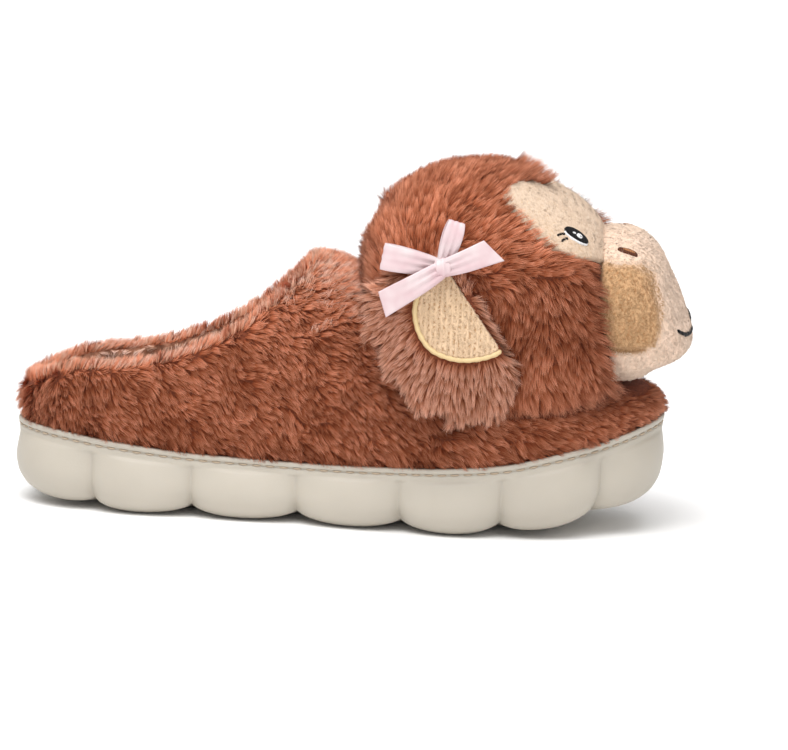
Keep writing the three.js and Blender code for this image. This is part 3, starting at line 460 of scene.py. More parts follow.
def unit(vectors):
    return vectors / np.maximum(np.linalg.norm(vectors, axis=-1, keepdims=True), 1e-9)


def smooth_step(low, high, values):
    t = np.clip((values - low) / (high - low), 0, 1)
    return t * t * (3 - 2 * t)


def bell(distance, width):
    """1 at no distance, falling off smoothly over the width."""
    return np.exp(-((distance / width) ** 2))


def ripple(points, length, seed):
    """A smooth uneven field from -1 to 1, whose swells are about the given length."""
    rng = np.random.default_rng(seed)
    total = np.zeros(len(points))
    for _ in range(5):
        direction = unit(rng.normal(size=3)) * rng.uniform(0.7, 1.5)
        total += np.sin(points @ direction * 2 * math.pi / length + rng.uniform(0, 2 * math.pi))
    return total / 5 * 1.6


def lock_tips(roots, offsets, size, pull, rng):
    """Draws the tips of neighbouring hairs together into locks."""
    chosen = rng.choice(len(roots), size=max(int(len(roots) / size), 1), replace=False)
    tree = KDTree(len(chosen))
    for index, choice in enumerate(chosen):
        tree.insert(roots[choice], index)
    tree.balance()
    nearest = np.array([tree.find(root)[1] for root in roots])
    lock_roots = roots[chosen][nearest]
    lock_tip = lock_roots + offsets[chosen][nearest]
    shade = rng.random(len(chosen))[nearest]
    gathered = offsets + (lock_tip - (roots + offsets)) * pull
    return gathered, shade


def add_pile(name, roots, normals, comb, look, material, slot, seed, **shape):
    """Hairs as narrow ridged blades, each leaning from its root along the combing direction.

    scale, stand and tone are given per hair: its length's share, how far it stands up beyond the
    look's own lift, and how pale it is. lowest(x) is a height that no tip hangs below.
    """
    rng = np.random.default_rng(seed)
    count = len(roots)
    length = look["length"] * (rng.uniform(0.75, 1.2, count) * shape.get("scale", 1.0))[:, None]
    side = unit(np.cross(comb, normals))
    swirl = look["swirl"] * (ripple(roots, look["swell"], seed) + rng.normal(0, 0.35, count))
    lay = unit(comb + side * swirl[:, None])
    lay = unit(lay - normals * (lay * normals).sum(axis=1)[:, None])
    lift = look["lift"] + shape.get("stand", 0.0) + 0.15 * ripple(roots, look["swell"] * 0.6, seed + 1)
    lift = np.clip(lift + rng.normal(0, 0.12, count), 0.1, 1.5)[:, None]
    offset = (lay * np.cos(lift) + normals * np.sin(lift)) * length
    offset, shade = lock_tips(roots, offset, look["lock"], look["pull"], rng)
    low = (offset * normals).sum(axis=1)
    offset += normals * np.maximum(0.25 - low, 0)[:, None]
    tips = roots + offset
    if "lowest" in shape:
        tips[:, 2] = np.maximum(tips[:, 2], shape["lowest"](tips[:, 0]))
    sunk = roots - normals * look["sink"]
    along = unit(tips - sunk)
    across = unit(np.cross(along, normals) + rng.normal(0, 0.2, (count, 3)))
    half = look["width"] / 2 * rng.uniform(0.7, 1.3, count)[:, None]
    ridge = sunk + unit(np.cross(across, along)) * half
    points = np.stack([sunk - across * half, ridge, sunk + across * half, tips], axis=1)
    first = np.arange(count)[:, None] * 4
    sides = [[0, 1, 3], [1, 2, 3]]
    if look["closed"]:
        sides.append([2, 0, 3])
    faces = np.concatenate([first + side for side in sides], axis=1)
    piece = mesh_object(name, points.reshape(-1, 3), faces.reshape(-1, 3), material)
    slow = (ripple(roots, 30.0, seed + 2) + 1) / 2
    shade = 0.5 * shade + 0.28 * rng.random(count) + 0.22 * slow + shape.get("tone", 0.0)
    write_attribute(piece, "rise", np.tile([0.0, 0.0, 0.0, 1.0], count))
    write_attribute(piece, "shade", np.repeat(shade, 4))
    shading = unit(normals + 0.35 * along + rng.normal(0, 0.12, (count, 3)))
    piece.data.normals_split_custom_set_from_vertices(np.repeat(shading, 4, axis=0))
    return piece


def write_attribute(piece, name, values):
    layer = piece.data.attributes.new(name, "FLOAT", "POINT")
    layer.data.foreach_set("value", np.asarray(values, dtype=np.float32))


def tree_of(*nodes):
    """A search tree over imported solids, in millimetres."""
    points = []
    faces = []
    for node in nodes:
        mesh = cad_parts[node].data
        start = len(points)
        points.extend(from_frame([v.co for v in mesh.vertices]).tolist())
        faces.extend([start + i for i in p.vertices] for p in mesh.polygons)
    return BVHTree.FromPolygons(points, faces)


def distance_to(tree, points, limit):
    """Distance of each point from a search tree, or the limit where it is further."""
    found = [tree.find_nearest(p, limit)[3] for p in points]
    return np.array([limit if d is None else d for d in found])


def apart(points, *gaps):
    """1 where a point is further than each gap from its search tree, and 0 elsewhere."""
    keep = np.ones(len(points))
    for tree, gap in gaps:
        keep[distance_to(tree, points, gap + 0.5) < gap] = 0.0
    return keep


def everywhere(points, _):
    return np.ones(len(points))


def same_for(points, direction):
    return np.tile(direction, (len(points), 1))


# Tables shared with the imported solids: shares of SOLE_LENGTH and BALL_WIDTH
OUTLINE = [
    (-0.008, 0.0), (0.005, -0.12), (0.046, -0.245), (0.13, -0.345), (0.27, -0.375), (0.42, -0.395),
    (0.56, -0.455), (0.68, -0.5), (0.8, -0.475), (0.9, -0.38), (0.969, -0.225), (1.004, -0.06),
    (1.004, 0.09), (0.974, 0.25), (0.91, 0.39), (0.8, 0.48), (0.68, 0.48), (0.56, 0.415),
    (0.42, 0.355), (0.27, 0.355), (0.13, 0.335), (0.046, 0.24), (0.005, 0.12),
]
GROOVES = [0.124, 0.281, 0.439, 0.596, 0.756, 0.913]
RIM_HEIGHT = 26.0
TOE_SPRING = 16.0
HEIGHTS = np.array(
    [
        (0.0, 1.29, 0.38), (0.05, 1.255, 0.21), (0.1, 1.21, 0.075), (0.15, 1.15, 0.0),
        (0.29, 1.02, 0.0), (0.45, 0.98, 0.0), (0.65, 1.05, 0.0), (0.69, 1.085, 0.0),
        (0.75, 1.15, 0.05), (0.83, 1.33, 0.22), (0.93, 1.6, 0.65), (1.0, 1.84, 1.0),
    ]
)
EDGE_ROUND = 20.0
LOBE_DEPTH = 5.2
LOBE_LIFT = 5.4
LOBE_ROUNDNESS = 0.965
FOOTBED = 15.0
LIP_INSET = 0.16 * EDGE_ROUND + 2.6
LIP_DEPTH = 3.0
CUP_INSET = LIP_INSET + 7.9
# One lobe's side, tread to lip: up, inset, groove and lift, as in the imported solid, with the
# small step under the band and the stitch groove added.
SIDE = np.array(
    [
        (0.0, 1.45, 0.0, 0.0), (0.0, 1.2, 0.04, 0.35), (0.0, 1.0, 0.06, 0.55), (0.0, 0.8, 0.12, 0.68),
        (0.0, 0.6, 0.24, 0.78), (0.006, 0.45, 0.42, 0.84),
        (0.02, 0.34, 0.6, 0.8), (0.055, 0.23, 0.78, 0.88), (0.1, 0.15, 0.9, 0.9),
        (0.165, 0.085, 0.97, 0.78), (0.24, 0.04, 1.0, 0.6), (0.33, 0.012, 1.0, 0.42),
        (0.42, 0.0, 1.0, 0.25), (0.51, 0.008, 0.97, 0.1), (0.6, 0.03, 0.9, 0.0),
        (0.68, 0.062, 0.76, 0.0), (0.75, 0.1, 0.55, 0.0), (0.79, 0.128, 0.38, 0.0),
        (0.8, 0.15, 0.2, 0.0), (0.82, 0.17, 0.06, 0.0), (0.85, 0.176, 0.0, 0.0),
        (0.885, 0.178, 0.0, 0.0), (0.893, 0.2, 0.0, 0.0), (0.915, 0.205, 0.0, 0.0),
        (0.925, 0.17, 0.0, 0.0), (0.94, 0.15, 0.0, 0.0), (0.985, 0.15, 0.0, 0.0),
        (1.0, 0.175, 0.0, 0.0),
    ]
)
# Where the sections of a lobe stand, from one groove at -1 to the next at 1
LOBE_STEPS = np.array(
    [-1, -0.97, -0.92, -0.84, -0.72, -0.56, -0.38, -0.19, 0, 0.19, 0.38, 0.56, 0.72, 0.84, 0.92, 0.97]
)
SOLE_CURVE = [(a * SOLE_LENGTH, b * BALL_WIDTH) for a, b in OUTLINE]
CURVE_SAMPLES = 4000
EDGE_STEP = 0.0008


def follow(xs, ys, at):
    """A smooth curve through a table that doesn't overshoot its rows."""
    xs, ys, at = (np.asarray(v, float) for v in (xs, ys, at))
    rise = np.diff(ys) / np.diff(xs)
    slopes = np.concatenate([[rise[0]], np.zeros(len(rise) - 1), [rise[-1]]])
    before, after = rise[:-1], rise[1:]
    same = before * after > 0
    total = np.where(same, before + after, 1.0)
    slopes[1:-1] = np.where(same, 2 * before * after / total, 0.0)
    at = np.clip(at, xs[0], xs[-1])
    cell = np.clip(np.searchsorted(xs, at), 1, len(xs) - 1)
    span = xs[cell] - xs[cell - 1]
    t = (at - xs[cell - 1]) / span
    return (
        ys[cell - 1] * (1 + 2 * t) * (1 - t) ** 2
        + slopes[cell - 1] * span * t * (1 - t) ** 2
        + ys[cell] * t * t * (3 - 2 * t)
        + slopes[cell] * span * t * t * (t - 1)
    )


def rim_at(x):
    return RIM_HEIGHT * follow(HEIGHTS[:, 0], HEIGHTS[:, 1], x / SOLE_LENGTH)


def tread_at(x):
    return TOE_SPRING * follow(HEIGHTS[:, 0], HEIGHTS[:, 2], x / SOLE_LENGTH)


def closed_spline(points, samples):
    """Points at even steps of length round a closed centripetal spline."""
    points = np.asarray(points, float)
    count = len(points)
    t = np.arange(CURVE_SAMPLES + 1) / CURVE_SAMPLES * count
    cell = np.minimum(t.astype(int), count - 1)
    w = (t - cell)[:, None]
    p = [points[(cell + k) % count] for k in (-1, 0, 1, 2)]
    d = [np.linalg.norm(p[k + 1] - p[k], axis=1, keepdims=True) ** 0.5 for k in range(3)]
    start = ((p[1] - p[0]) / d[0] - (p[2] - p[0]) / (d[0] + d[1]) + (p[2] - p[1]) / d[1]) * d[1]
    end = ((p[2] - p[1]) / d[1] - (p[3] - p[1]) / (d[1] + d[2]) + (p[3] - p[2]) / d[2]) * d[1]
    curve = (
        p[1]
        + start * w
        + (-3 * p[1] + 3 * p[2] - 2 * start - end) * w**2
        + (2 * p[1] - 2 * p[2] + start + end) * w**3
    )
    run = np.concatenate([[0], np.cumsum(np.linalg.norm(np.diff(curve, axis=0), axis=1))])
    at = np.asarray(samples) * run[-1]
    return np.stack([np.interp(at, run, curve[:, k]) for k in range(curve.shape[1])], axis=1)


def outward_at(shares, behind):
    """Outward directions of the sole's edge, from its run between behind and just ahead."""
    ahead = closed_spline(SOLE_CURVE, np.mod(shares + EDGE_STEP, 1.0))
    tangent = unit(ahead - closed_spline(SOLE_CURVE, np.mod(shares - behind, 1.0)))
    return np.stack([tangent[:, 1], -tangent[:, 0]], axis=1)


def groove_shares():
    """Where the grooves stand, as shares of the way round the sole."""
    shares = np.arange(CURVE_SAMPLES + 1) / CURVE_SAMPLES
    points = closed_spline(SOLE_CURVE, shares)
    front = slice(CURVE_SAMPLES // 4, 3 * CURVE_SAMPLES // 4)
    toe = shares[front][np.argmax(points[front, 1] > 0)]
    outer = shares < toe
    at = np.array(GROOVES) * SOLE_LENGTH
    ahead = np.interp(at, points[outer, 0], shares[outer])
    back = np.interp(at, points[~outer, 0][::-1], shares[~outer][::-1])
    return [0.0, *ahead, toe, *back[::-1], 1.0]


def sole_loop():
    """Points round the sole, their outward directions and how full the lobe is there."""
    bounds = groove_shares()
    shares = np.concatenate(
        [low + (high - low) * (LOBE_STEPS + 1) / 2 for low, high in zip(bounds, bounds[1:])]
    )
    floor = math.sqrt(1 - LOBE_ROUNDNESS**2)
    puff = (np.sqrt(1 - (LOBE_ROUNDNESS * LOBE_STEPS) ** 2) - floor) / (1 - floor)
    points = closed_spline(SOLE_CURVE, shares)
    return points, outward_at(shares, EDGE_STEP), np.tile(puff, len(bounds) - 1)


# Sole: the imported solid's own form, finer, with its small step and stitch groove
def build_sole(foam):
    points, outward, puff = sole_loop()
    rings = []

    def ring(inset, height):
        x, y = (points - outward * np.reshape(inset, (-1, 1))).T
        rings.append(np.stack([x, y, height(x)], axis=1))

    for up, inset, groove, lift in SIDE:
        ring(
            inset * EDGE_ROUND + groove * LOBE_DEPTH * (1 - puff),
            lambda x: tread_at(x) + up * (rim_at(x) - tread_at(x)) + lift * LOBE_LIFT * (1 - puff),
        )
    ring(LIP_INSET, rim_at)
    ring(LIP_INSET, lambda x: rim_at(x) - LIP_DEPTH)
    ring(CUP_INSET, lambda x: rim_at(x) - LIP_DEPTH)
    ring(CUP_INSET, lambda x: tread_at(x) + FOOTBED)
    around = len(points)
    faces = grid_faces(len(rings), around)
    for start, up in ((0, False), ((len(rings) - 1) * around, True)):
        for i in range(around // 2):
            quad = [i, i + 1, around - i - 1, (around - i) % around]
            quad = list(dict.fromkeys(start + corner for corner in quad))
            faces.append(quad if up else quad[::-1])
    sole = mesh_object("outsole_skin", np.concatenate(rings), faces, foam)
    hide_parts("outsole")


STITCHES = 116
STITCH_SIDES = 6
STITCH_RADII = (0.28, 0.42, 0.42, 0.42, 0.28)
STITCH_BOW = np.array([-0.35, 0.3, 0.45, 0.3, -0.35])
STITCH_HEIGHT = 0.905


def build_rim_stitches(thread):
    """A row of stitches in the groove under the lip."""
    shares = np.linspace(0, 1, STITCHES, endpoint=False)
    count = len(STITCH_BOW)
    points = []
    faces = []
    for share in shares:
        along = share + shares[1] * np.linspace(0.1, 0.8, count)
        out = outward_at(along, 0.0)
        spots = closed_spline(SOLE_CURVE, np.mod(along, 1.0))
        x, y = (spots - out * (0.2 * EDGE_ROUND - STITCH_BOW[:, None])).T
        tread = tread_at(x)
        z = tread + STITCH_HEIGHT * (rim_at(x) - tread)
        start = len(points)
        for j, radius in enumerate(STITCH_RADII):
            for angle in np.linspace(0, 2 * math.pi, STITCH_SIDES, endpoint=False):
                shift = out[j] * math.cos(angle) * radius
                points.append((x[j] + shift[0], y[j] + shift[1], z[j] + radius * math.sin(angle)))
        stitch = grid_faces(count, STITCH_SIDES, turned_over=True)
        faces += [tuple(start + corner for corner in face) for face in stitch]
        faces.append(tuple(range(start, start + STITCH_SIDES)))
        faces.append(tuple(range(len(points) - 1, len(points) - 1 - STITCH_SIDES, -1)))
    mesh_object("rim_stitches", np.array(points), faces, thread)


# Pile: lengths and widths in millimetres, lift in radians, lock in hairs; density is hairs on a
# square millimetre of cloth
FUR_LOOK = {
    "length": 5.8, "width": 0.36, "lift": 0.6, "swirl": 0.5, "swell": 17.0, "lock": 20,
    "pull": 0.48, "sink": 1.0, "closed": False,
}
HEAD_LOOK = {**FUR_LOOK, "lift": 0.7, "swirl": 0.45, "swell": 15.0, "lock": 18, "pull": 0.45}
EAR_LOOK = {**FUR_LOOK, "length": 6.2, "lift": 0.65, "swell": 14.0, "sink": 0.8}
LINING_LOOK = {**FUR_LOOK, "length": 4.6, "lift": 0.7, "width": 0.5}
FOLD_LOOK = {**FUR_LOOK, "length": 5.2, "lift": 0.75, "swirl": 0.9, "swell": 9.0}
INSOLE_LOOK = {**FUR_LOOK, "length": 3.4, "lift": 0.9, "width": 0.42, "swell": 14.0}
NAP_LOOK = {
    "length": 1.4, "width": 0.34, "lift": 0.45, "swirl": 1.2, "swell": 5.0, "lock": 5,
    "pull": 0.3, "sink": 0.15, "closed": True,
}
EAR_NAP_LOOK = {**NAP_LOOK, "length": 1.1}
DENSITY = {
    "upper": 4.6, "lining": 2.6, "fold": 4.5, "insole": 2.6, "head": 3.9, "ear": 3.8, "face": 2.6,
    "muzzle": 2.4, "ear_panel": 2.0,
}

# Upper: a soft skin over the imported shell, with long pile outside and shorter pile in the collar
COLLAR_FRONT = 172.0
COVER_GAP = 2.5
SEAT_GAP = 0.9
PILE_DROOP = 1.3


def middle_at(x):
    """How far the middle of the sole stands sideways."""
    rows = np.array(OUTLINE)
    half = len(rows) // 2 + 1
    mates = rows[(len(rows) - np.arange(half)) % len(rows)]
    along = (rows[:half, 0] + mates[:, 0]) / 2
    return BALL_WIDTH * follow(along, (rows[:half, 1] + mates[:, 1]) / 2, x / SOLE_LENGTH)


def outward_share(points, normals):
    """1 on the outer side of the shell and 0 on its lining."""
    x = points[:, 0]
    core = np.stack([np.clip(x, 60, 225), middle_at(x), rim_at(x) + 4], axis=1)
    return ((points - core) * normals).sum(axis=1) > 0


def build_upper():
    skin = skin_of("upper", "upper_skin", 1.8, 6, fur_under)
    points, normals = vertex_arrays(skin)
    write_attribute(skin, "inner", 1.0 - outward_share(points, normals))
    covers = tree_of("head", "muzzle")
    seat = tree_of("outsole")

    def outer(points, normals):
        return outward_share(points, normals) * apart(points, (covers, COVER_GAP), (seat, SEAT_GAP))

    def lining(points, normals):
        deep = np.clip((points[:, 2] - 30) / 20, 0.25, 1.0)
        kept = (1.0 - outward_share(points, normals)) * np.where(points[:, 0] < 135, deep, 0.12)
        return kept * apart(points, (seat, SEAT_GAP))

    def on_fold(points, normals):
        kept = smooth_step(0.45, 0.85, normals[:, 2]) * (points[:, 0] < COLLAR_FRONT)
        kept *= points[:, 2] > rim_at(points[:, 0]) + 12
        return kept * apart(points, (covers, COVER_GAP))

    rng = np.random.default_rng(3)
    roots, normals = scatter(skin, DENSITY["upper"], outer, rng)
    x = roots[:, 0]
    height = roots[:, 2] - rim_at(x)
    fold = smooth_step(0.35, 0.9, normals[:, 2]) * (x < COLLAR_FRONT)
    comb = same_for(roots, [0.9, 0.0, -0.6])
    comb[:, 2] *= 0.35 + 0.65 * smooth_step(1.0, 12.0, height)
    low = smooth_step(7.0, 0.0, height)
    scale = 1 - 0.1 * low - 0.3 * smooth_step(232.0, 250.0, x)
    stand = 0.35 * low + 0.15 * fold
    collar_highlight = smooth_step(-0.05, 0.6, normals[:, 2]) * smooth_step(150.0, 90.0, x)
    # Painted light in the pile's tone: paler along the collar's fold, where the pile parts, partly as a
    # painted highlight; a broad painted highlight under the collar; a painted lighter heel end.
    tone = 0.3 * fold + 0.25 * collar_highlight + 0.36 * smooth_step(32.0, 0.0, x)
    order = np.argsort(x, kind="stable")
    for part, chosen in enumerate(np.array_split(order, 2)):
        add_pile(
            f"upper_pile_{part + 1}", roots[chosen], normals[chosen], comb[chosen], FUR_LOOK, fur,
            "fur", 31 + part, scale=scale[chosen], stand=stand[chosen], tone=tone[chosen],
            lowest=lambda x: rim_at(x) - PILE_DROOP,
        )
    roots, normals = scatter(skin, DENSITY["lining"], lining, rng)
    # Paler and shorter at the fold, partly as a painted highlight.
    fold = smooth_step(0.35, 0.9, normals[:, 2])
    add_pile(
        "lining_pile", roots, normals, same_for(roots, [-0.3, 0.0, -1.0]), LINING_LOOK, lining_fur,
        "lining", 37, scale=1 - 0.3 * fold, tone=0.2 * fold,
    )
    # The fold's own pile is paler where the pile parts, partly as a painted highlight.
    roots, normals = scatter(skin, DENSITY["fold"], on_fold, rng)
    comb = same_for(roots, [0.8, 0.0, 0.25])
    add_pile("fold_pile", roots, normals, comb, FOLD_LOOK, fold_fur, "fur", 39)


# Places of the stuffed head, its ears and the bow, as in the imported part
HEAD_CENTRE = Vector((0.722 * SOLE_LENGTH, 0.0, 98.975))
HEAD_LEAN = math.radians(7)
HEAD_HALF_WIDTH = 56.0
HEAD_RADIUS = 50.0
MUZZLE_HALF_WIDTH = 42.0
EAR_LENGTH = 64.0
EAR_FLARE = math.radians(7)
FACE_TURN = math.radians(50)
NOSTRIL_TURN = math.radians(60)
MOUTH_TURN = math.radians(-8)
HEAD = Matrix.Translation(HEAD_CENTRE) @ Matrix.Rotation(HEAD_LEAN, 4, "X")
MUZZLE = HEAD @ Matrix.Translation((1.02 * HEAD_RADIUS, 0.0, -0.14 * HEAD_RADIUS))


def ear_place(side):
    place = Matrix.Translation((-0.27 * HEAD_RADIUS, side * 60.0, -0.16 * HEAD_RADIUS))
    lean = Matrix.Rotation(-HEAD_LEAN, 4, "X")
    return HEAD @ place @ lean @ Matrix.Rotation(-side * EAR_FLARE, 4, "Z")


BOW = ear_place(-1) @ Matrix.Translation((-0.1 * EAR_LENGTH, -7.5, 0.45 * EAR_LENGTH))


def local_points(place, points):
    inverse = np.array(place.inverted())
    return points @ inverse[:3, :3].T + inverse[:3, 3]


def world_points(place, points):
    matrix = np.array(place)
    return np.asarray(points) @ matrix[:3, :3].T + matrix[:3, 3]


def turned(directions, place):
    return np.asarray(directions) @ np.array(place)[:3, :3].T


def tree_of_piece(piece):
    points, _ = vertex_arrays(piece)
    return BVHTree.FromPolygons(points.tolist(), [tuple(p.vertices) for p in piece.data.polygons])


def cast(tree, place, starts, direction, reach):
    """Where rays from points of a place meet a surface, and the surface's normals there."""
    aim = Vector(turned(direction, place))
    points = []
    normals = []
    for start in world_points(place, starts):
        spot, normal, _, _ = tree.ray_cast(Vector(start), aim)
        if spot is None:
            spot, normal, _, _ = tree.find_nearest(Vector(start) + aim * reach)
        points.append(spot)
        normals.append(normal)
    return np.array(points), np.array(normals)


def drop(tree, place, spots, turn, reach=160.0):
    """Where points given sideways and upwards, seen along a turn, meet a surface."""
    out = np.array([math.cos(turn), 0.0, math.sin(turn)])
    rise = np.array([-math.sin(turn), 0.0, math.cos(turn)])
    starts = np.array([s * np.array([0.0, 1.0, 0.0]) + u * rise + reach * out for s, u in spots])
    return cast(tree, place, starts, -out, reach)


def drop_sideways(tree, place, spots, side, reach=60.0):
    """The same for points given along and upwards on an ear, seen from its outer side."""
    starts = np.array([(x, side * reach, z) for x, z in spots])
    return cast(tree, place, starts, (0.0, -side, 0.0), reach)


def smoothed(vectors, rings, around, passes):
    """Evens out vectors laid on a grid of rings."""
    grid = vectors.reshape(rings, around, 3)
    for _ in range(passes):
        above = np.concatenate([grid[:1], grid[:-1]])
        below = np.concatenate([grid[1:], grid[-1:]])
        grid = (2 * grid + np.roll(grid, 1, 1) + np.roll(grid, -1, 1) + above + below) / 6
    return grid.reshape(-1, 3)


def lay_patch(name, outline, finder, thickness, rings, material, even=6, leave_out=None):
    """A soft-edged patch of cloth or thread laid on a surface inside a closed outline."""
    outline = np.asarray(outline)
    around = len(outline)
    middle = outline.mean(axis=0)
    shares = np.linspace(0.02, 1.0, rings) ** 0.85
    spots = np.concatenate([middle + (outline - middle) * share for share in shares])
    points, normals = finder(spots)
    normals = unit(smoothed(normals, rings, around, 2 * even))
    points = smoothed(points, rings, around, even)
    reach = np.linalg.norm(outline - middle, axis=1)
    inside = np.concatenate([(1 - share) * reach for share in shares])
    height = thickness * (np.sqrt(1 - (1 - np.clip(inside / (1.6 * thickness), 0, 1)) ** 2))
    height = np.where(inside <= 1e-6, -0.6, height + 0.15)
    points = points + normals * height[:, None]
    faces = [tuple(range(around)), *grid_faces(rings, around, turned_over=True)]
    if leave_out is not None:
        hidden = leave_out(points)
        faces = [f for f in faces if not all(hidden[v] for v in f)]
    patch = mesh_object(name, points, faces, material)
    face_outward(patch.data)
    return patch


def lay_cord(name, points, normals, half_width, height, pitch, material):
    """Raised stitching along a line on a surface, rounded over and ribbed by its threads."""
    ahead = np.roll(points, -1, 0) - np.roll(points, 1, 0)
    ahead[0] = points[1] - points[0]
    ahead[-1] = points[-1] - points[-2]
    across = unit(np.cross(ahead, normals))
    run = np.concatenate([[0], np.cumsum(np.linalg.norm(np.diff(points, axis=0), axis=1))])
    rib = 1 + 0.16 * np.abs(np.sin(math.pi * run / pitch))
    rib *= 1 + 0.08 * np.sin(run * 1.7)
    rib *= np.sqrt(np.clip(np.minimum(run, run[-1] - run) / half_width, 0.05, 1))
    angles = np.linspace(-0.2 * math.pi, 1.2 * math.pi, 11)
    rows = []
    for angle in angles:
        side = np.cos(angle) * half_width * rib
        lift = np.sin(angle) * height * rib
        rows.append(points + across * side[:, None] + normals * lift[:, None])
    grid = np.stack(rows, axis=1).reshape(-1, 3)
    piece = mesh_object(name, grid, grid_faces(len(points), len(angles), ringed=False), material)
    write_attribute(piece, "along", np.repeat(run, len(angles)))
    return piece


# Head, ears and muzzle: stuffed forms under their pile
FACE_ROWS = [
    (0.0, 0.26), (0.14, 0.38), (0.3, 0.48), (0.47, 0.52), (0.6, 0.46), (0.7, 0.28),
    (0.78, 0.09), (0.78, -0.12), (0.7, -0.3), (0.55, -0.42), (0.3, -0.6),
]
EAR_PATCH_ROWS = [
    (-0.05, 0.425), (-0.19, 0.355), (-0.265, 0.22), (-0.25, 0.06), (-0.16, -0.08), (0.0, -0.145),
    (0.17, -0.135), (0.31, -0.075),
]
EDGING_WIDTH = 1.8
STITCH_PITCH = 0.42


def face_outline(samples=150):
    right = [(s * HEAD_HALF_WIDTH, u * HEAD_RADIUS) for s, u in FACE_ROWS]
    left = [(-s, u) for s, u in right[:0:-1]]
    return closed_spline(right + left, np.arange(samples) / samples)


def in_outline(outline, spots):
    """Whether each spot lies inside a closed outline."""
    inside = np.zeros(len(spots), bool)
    for (x1, y1), (x2, y2) in zip(outline, np.roll(outline, -1, 0)):
        crosses = (y1 > spots[:, 1]) != (y2 > spots[:, 1])
        with np.errstate(divide="ignore", invalid="ignore"):
            at = (x2 - x1) * (spots[:, 1] - y1) / (y2 - y1) + x1
        inside ^= crosses & (spots[:, 0] < at)
    return inside


def nearest_gap(spots, outline):
    return np.linalg.norm(spots[:, None, :] - outline[None, :, :], axis=2).min(axis=1)


def face_view(points):
    """Points seen along the face's turn: sideways and upwards, and how far out they stand."""
    x, y, z = local_points(HEAD, points).T
    rise = -x * math.sin(FACE_TURN) + z * math.cos(FACE_TURN)
    return np.stack([y, rise], axis=1), x * math.cos(FACE_TURN) + z * math.sin(FACE_TURN)


def on_face_panel(points, grow):
    spots, out = face_view(points)
    outline = face_outline(90)
    middle = outline.mean(axis=0)
    reach = np.linalg.norm(outline - middle, axis=1, keepdims=True)
    outline = middle + (outline - middle) * (1 + grow / reach)
    return in_outline(outline, spots) & (out > 12)


def build_head():
    skin = skin_of("head", "head_skin", 2.2, 10, fur_under)
    upper = tree_of("upper")
    ears = tree_of("ear_right", "ear_left")
    muzzle = tree_of("muzzle")

    def kept(points, normals):
        return apart(points, (muzzle, 1.4), (ears, 1.6), (upper, 1.6)) * ~on_face_panel(points, -1.5)

    rng = np.random.default_rng(5)
    roots, normals = scatter(skin, DENSITY["head"], kept, rng)
    x, y, z = local_points(HEAD, roots).T
    high = smooth_step(-4, 30, z - 0.3 * x)
    comb = np.outer(1 - high, [-0.05, 0.0, -1.0]) + np.outer(high, [0.9, 0.0, 0.25])
    comb += np.outer(high * smooth_step(-10, -35, x), [-0.6, 0.0, 0.75])
    low = smooth_step(-12, -34, z)[:, None]
    comb += low * np.stack([x * 0.02, np.sign(y) * 0.6, 0 * x], axis=1)
    to_face = nearest_gap(face_view(roots)[0], face_outline(90))
    ahead = (x > 5) * 1.0
    brow = smooth_step(15, 3, to_face) * smooth_step(14, 28, z) * ahead
    comb = comb * (1 - brow[:, None]) + np.outer(brow, [1.2, 0.0, 0.3])
    comb = turned(comb, HEAD)
    edge = smooth_step(6, 1, to_face) * ahead * (1 - brow)
    near_ear = smooth_step(7, 1.5, distance_to(ears, roots, 8.0))
    hem = smooth_step(-26, -38, z) * smooth_step(0, 15, np.abs(y))
    peak = bell(y - 3, 13) * smooth_step(13, 3, to_face) * smooth_step(16, 26, z) * ahead
    far = smooth_step(22, 34, y) * smooth_step(16, 8, to_face) * smooth_step(-12, 2, z) * ahead
    by_muzzle = smooth_step(9, 2.5, distance_to(muzzle, roots, 10.0)) * (z < 12)
    comb += np.outer(by_muzzle, turned((0.9, 0.0, 0.0), HEAD))
    scale = 1 - 0.4 * edge + 0.1 * brow - 0.3 * near_ear + 0.45 * hem + 0.75 * peak
    scale += 0.9 * far + 0.5 * by_muzzle
    stand = 0.1 * brow + 0.5 * far + 0.3 * by_muzzle + 0.2 * peak
    # Painted shade in the pile's tone: darker next to the ears, in the crevice, and a little darker on
    # the sunlit crown.
    tone = 0.15 * brow - 0.35 * near_ear - 0.05 * high
    order = np.argsort(roots[:, 2], kind="stable")
    for part, chosen in enumerate(np.array_split(order, 2)):
        add_pile(
            f"head_pile_{part + 1}", roots[chosen], normals[chosen], comb[chosen], HEAD_LOOK, fur,
            "fur", 51 + part, scale=scale[chosen], stand=stand[chosen], tone=tone[chosen],
        )
    return skin


def inside_muzzle(points):
    local = local_points(MUZZLE, points)
    reach = np.hypot(local[:, 0], local[:, 2]) / (0.6 * HEAD_RADIUS)
    return (reach**2.7 + (np.abs(local[:, 1]) / MUZZLE_HALF_WIDTH) ** 2.7) < 0.8


def build_face(head_skin):
    tree = tree_of_piece(head_skin)
    panel = lay_patch(
        "face_skin", face_outline(), lambda spots: drop(tree, HEAD, spots, FACE_TURN), 1.7, 34,
        face_plush, leave_out=inside_muzzle,
    )
    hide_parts("face_panel")
    roots, normals = scatter(panel, DENSITY["face"], everywhere, np.random.default_rng(7))
    comb = turned(same_for(roots, [-0.4, 0.0, 0.5]), HEAD)
    add_pile("face_nap", roots, normals, comb, NAP_LOOK, face_nap, "plush", 71)
    return panel


def oval(side, up, half_wide, half_tall, spin, count=40):
    angle = np.arange(count) / count * 2 * math.pi
    a, b = half_wide * np.cos(angle), half_tall * np.sin(angle)
    return np.stack(
        [side + a * math.cos(spin) - b * math.sin(spin), up + a * math.sin(spin) + b * math.cos(spin)],
        axis=1,
    )


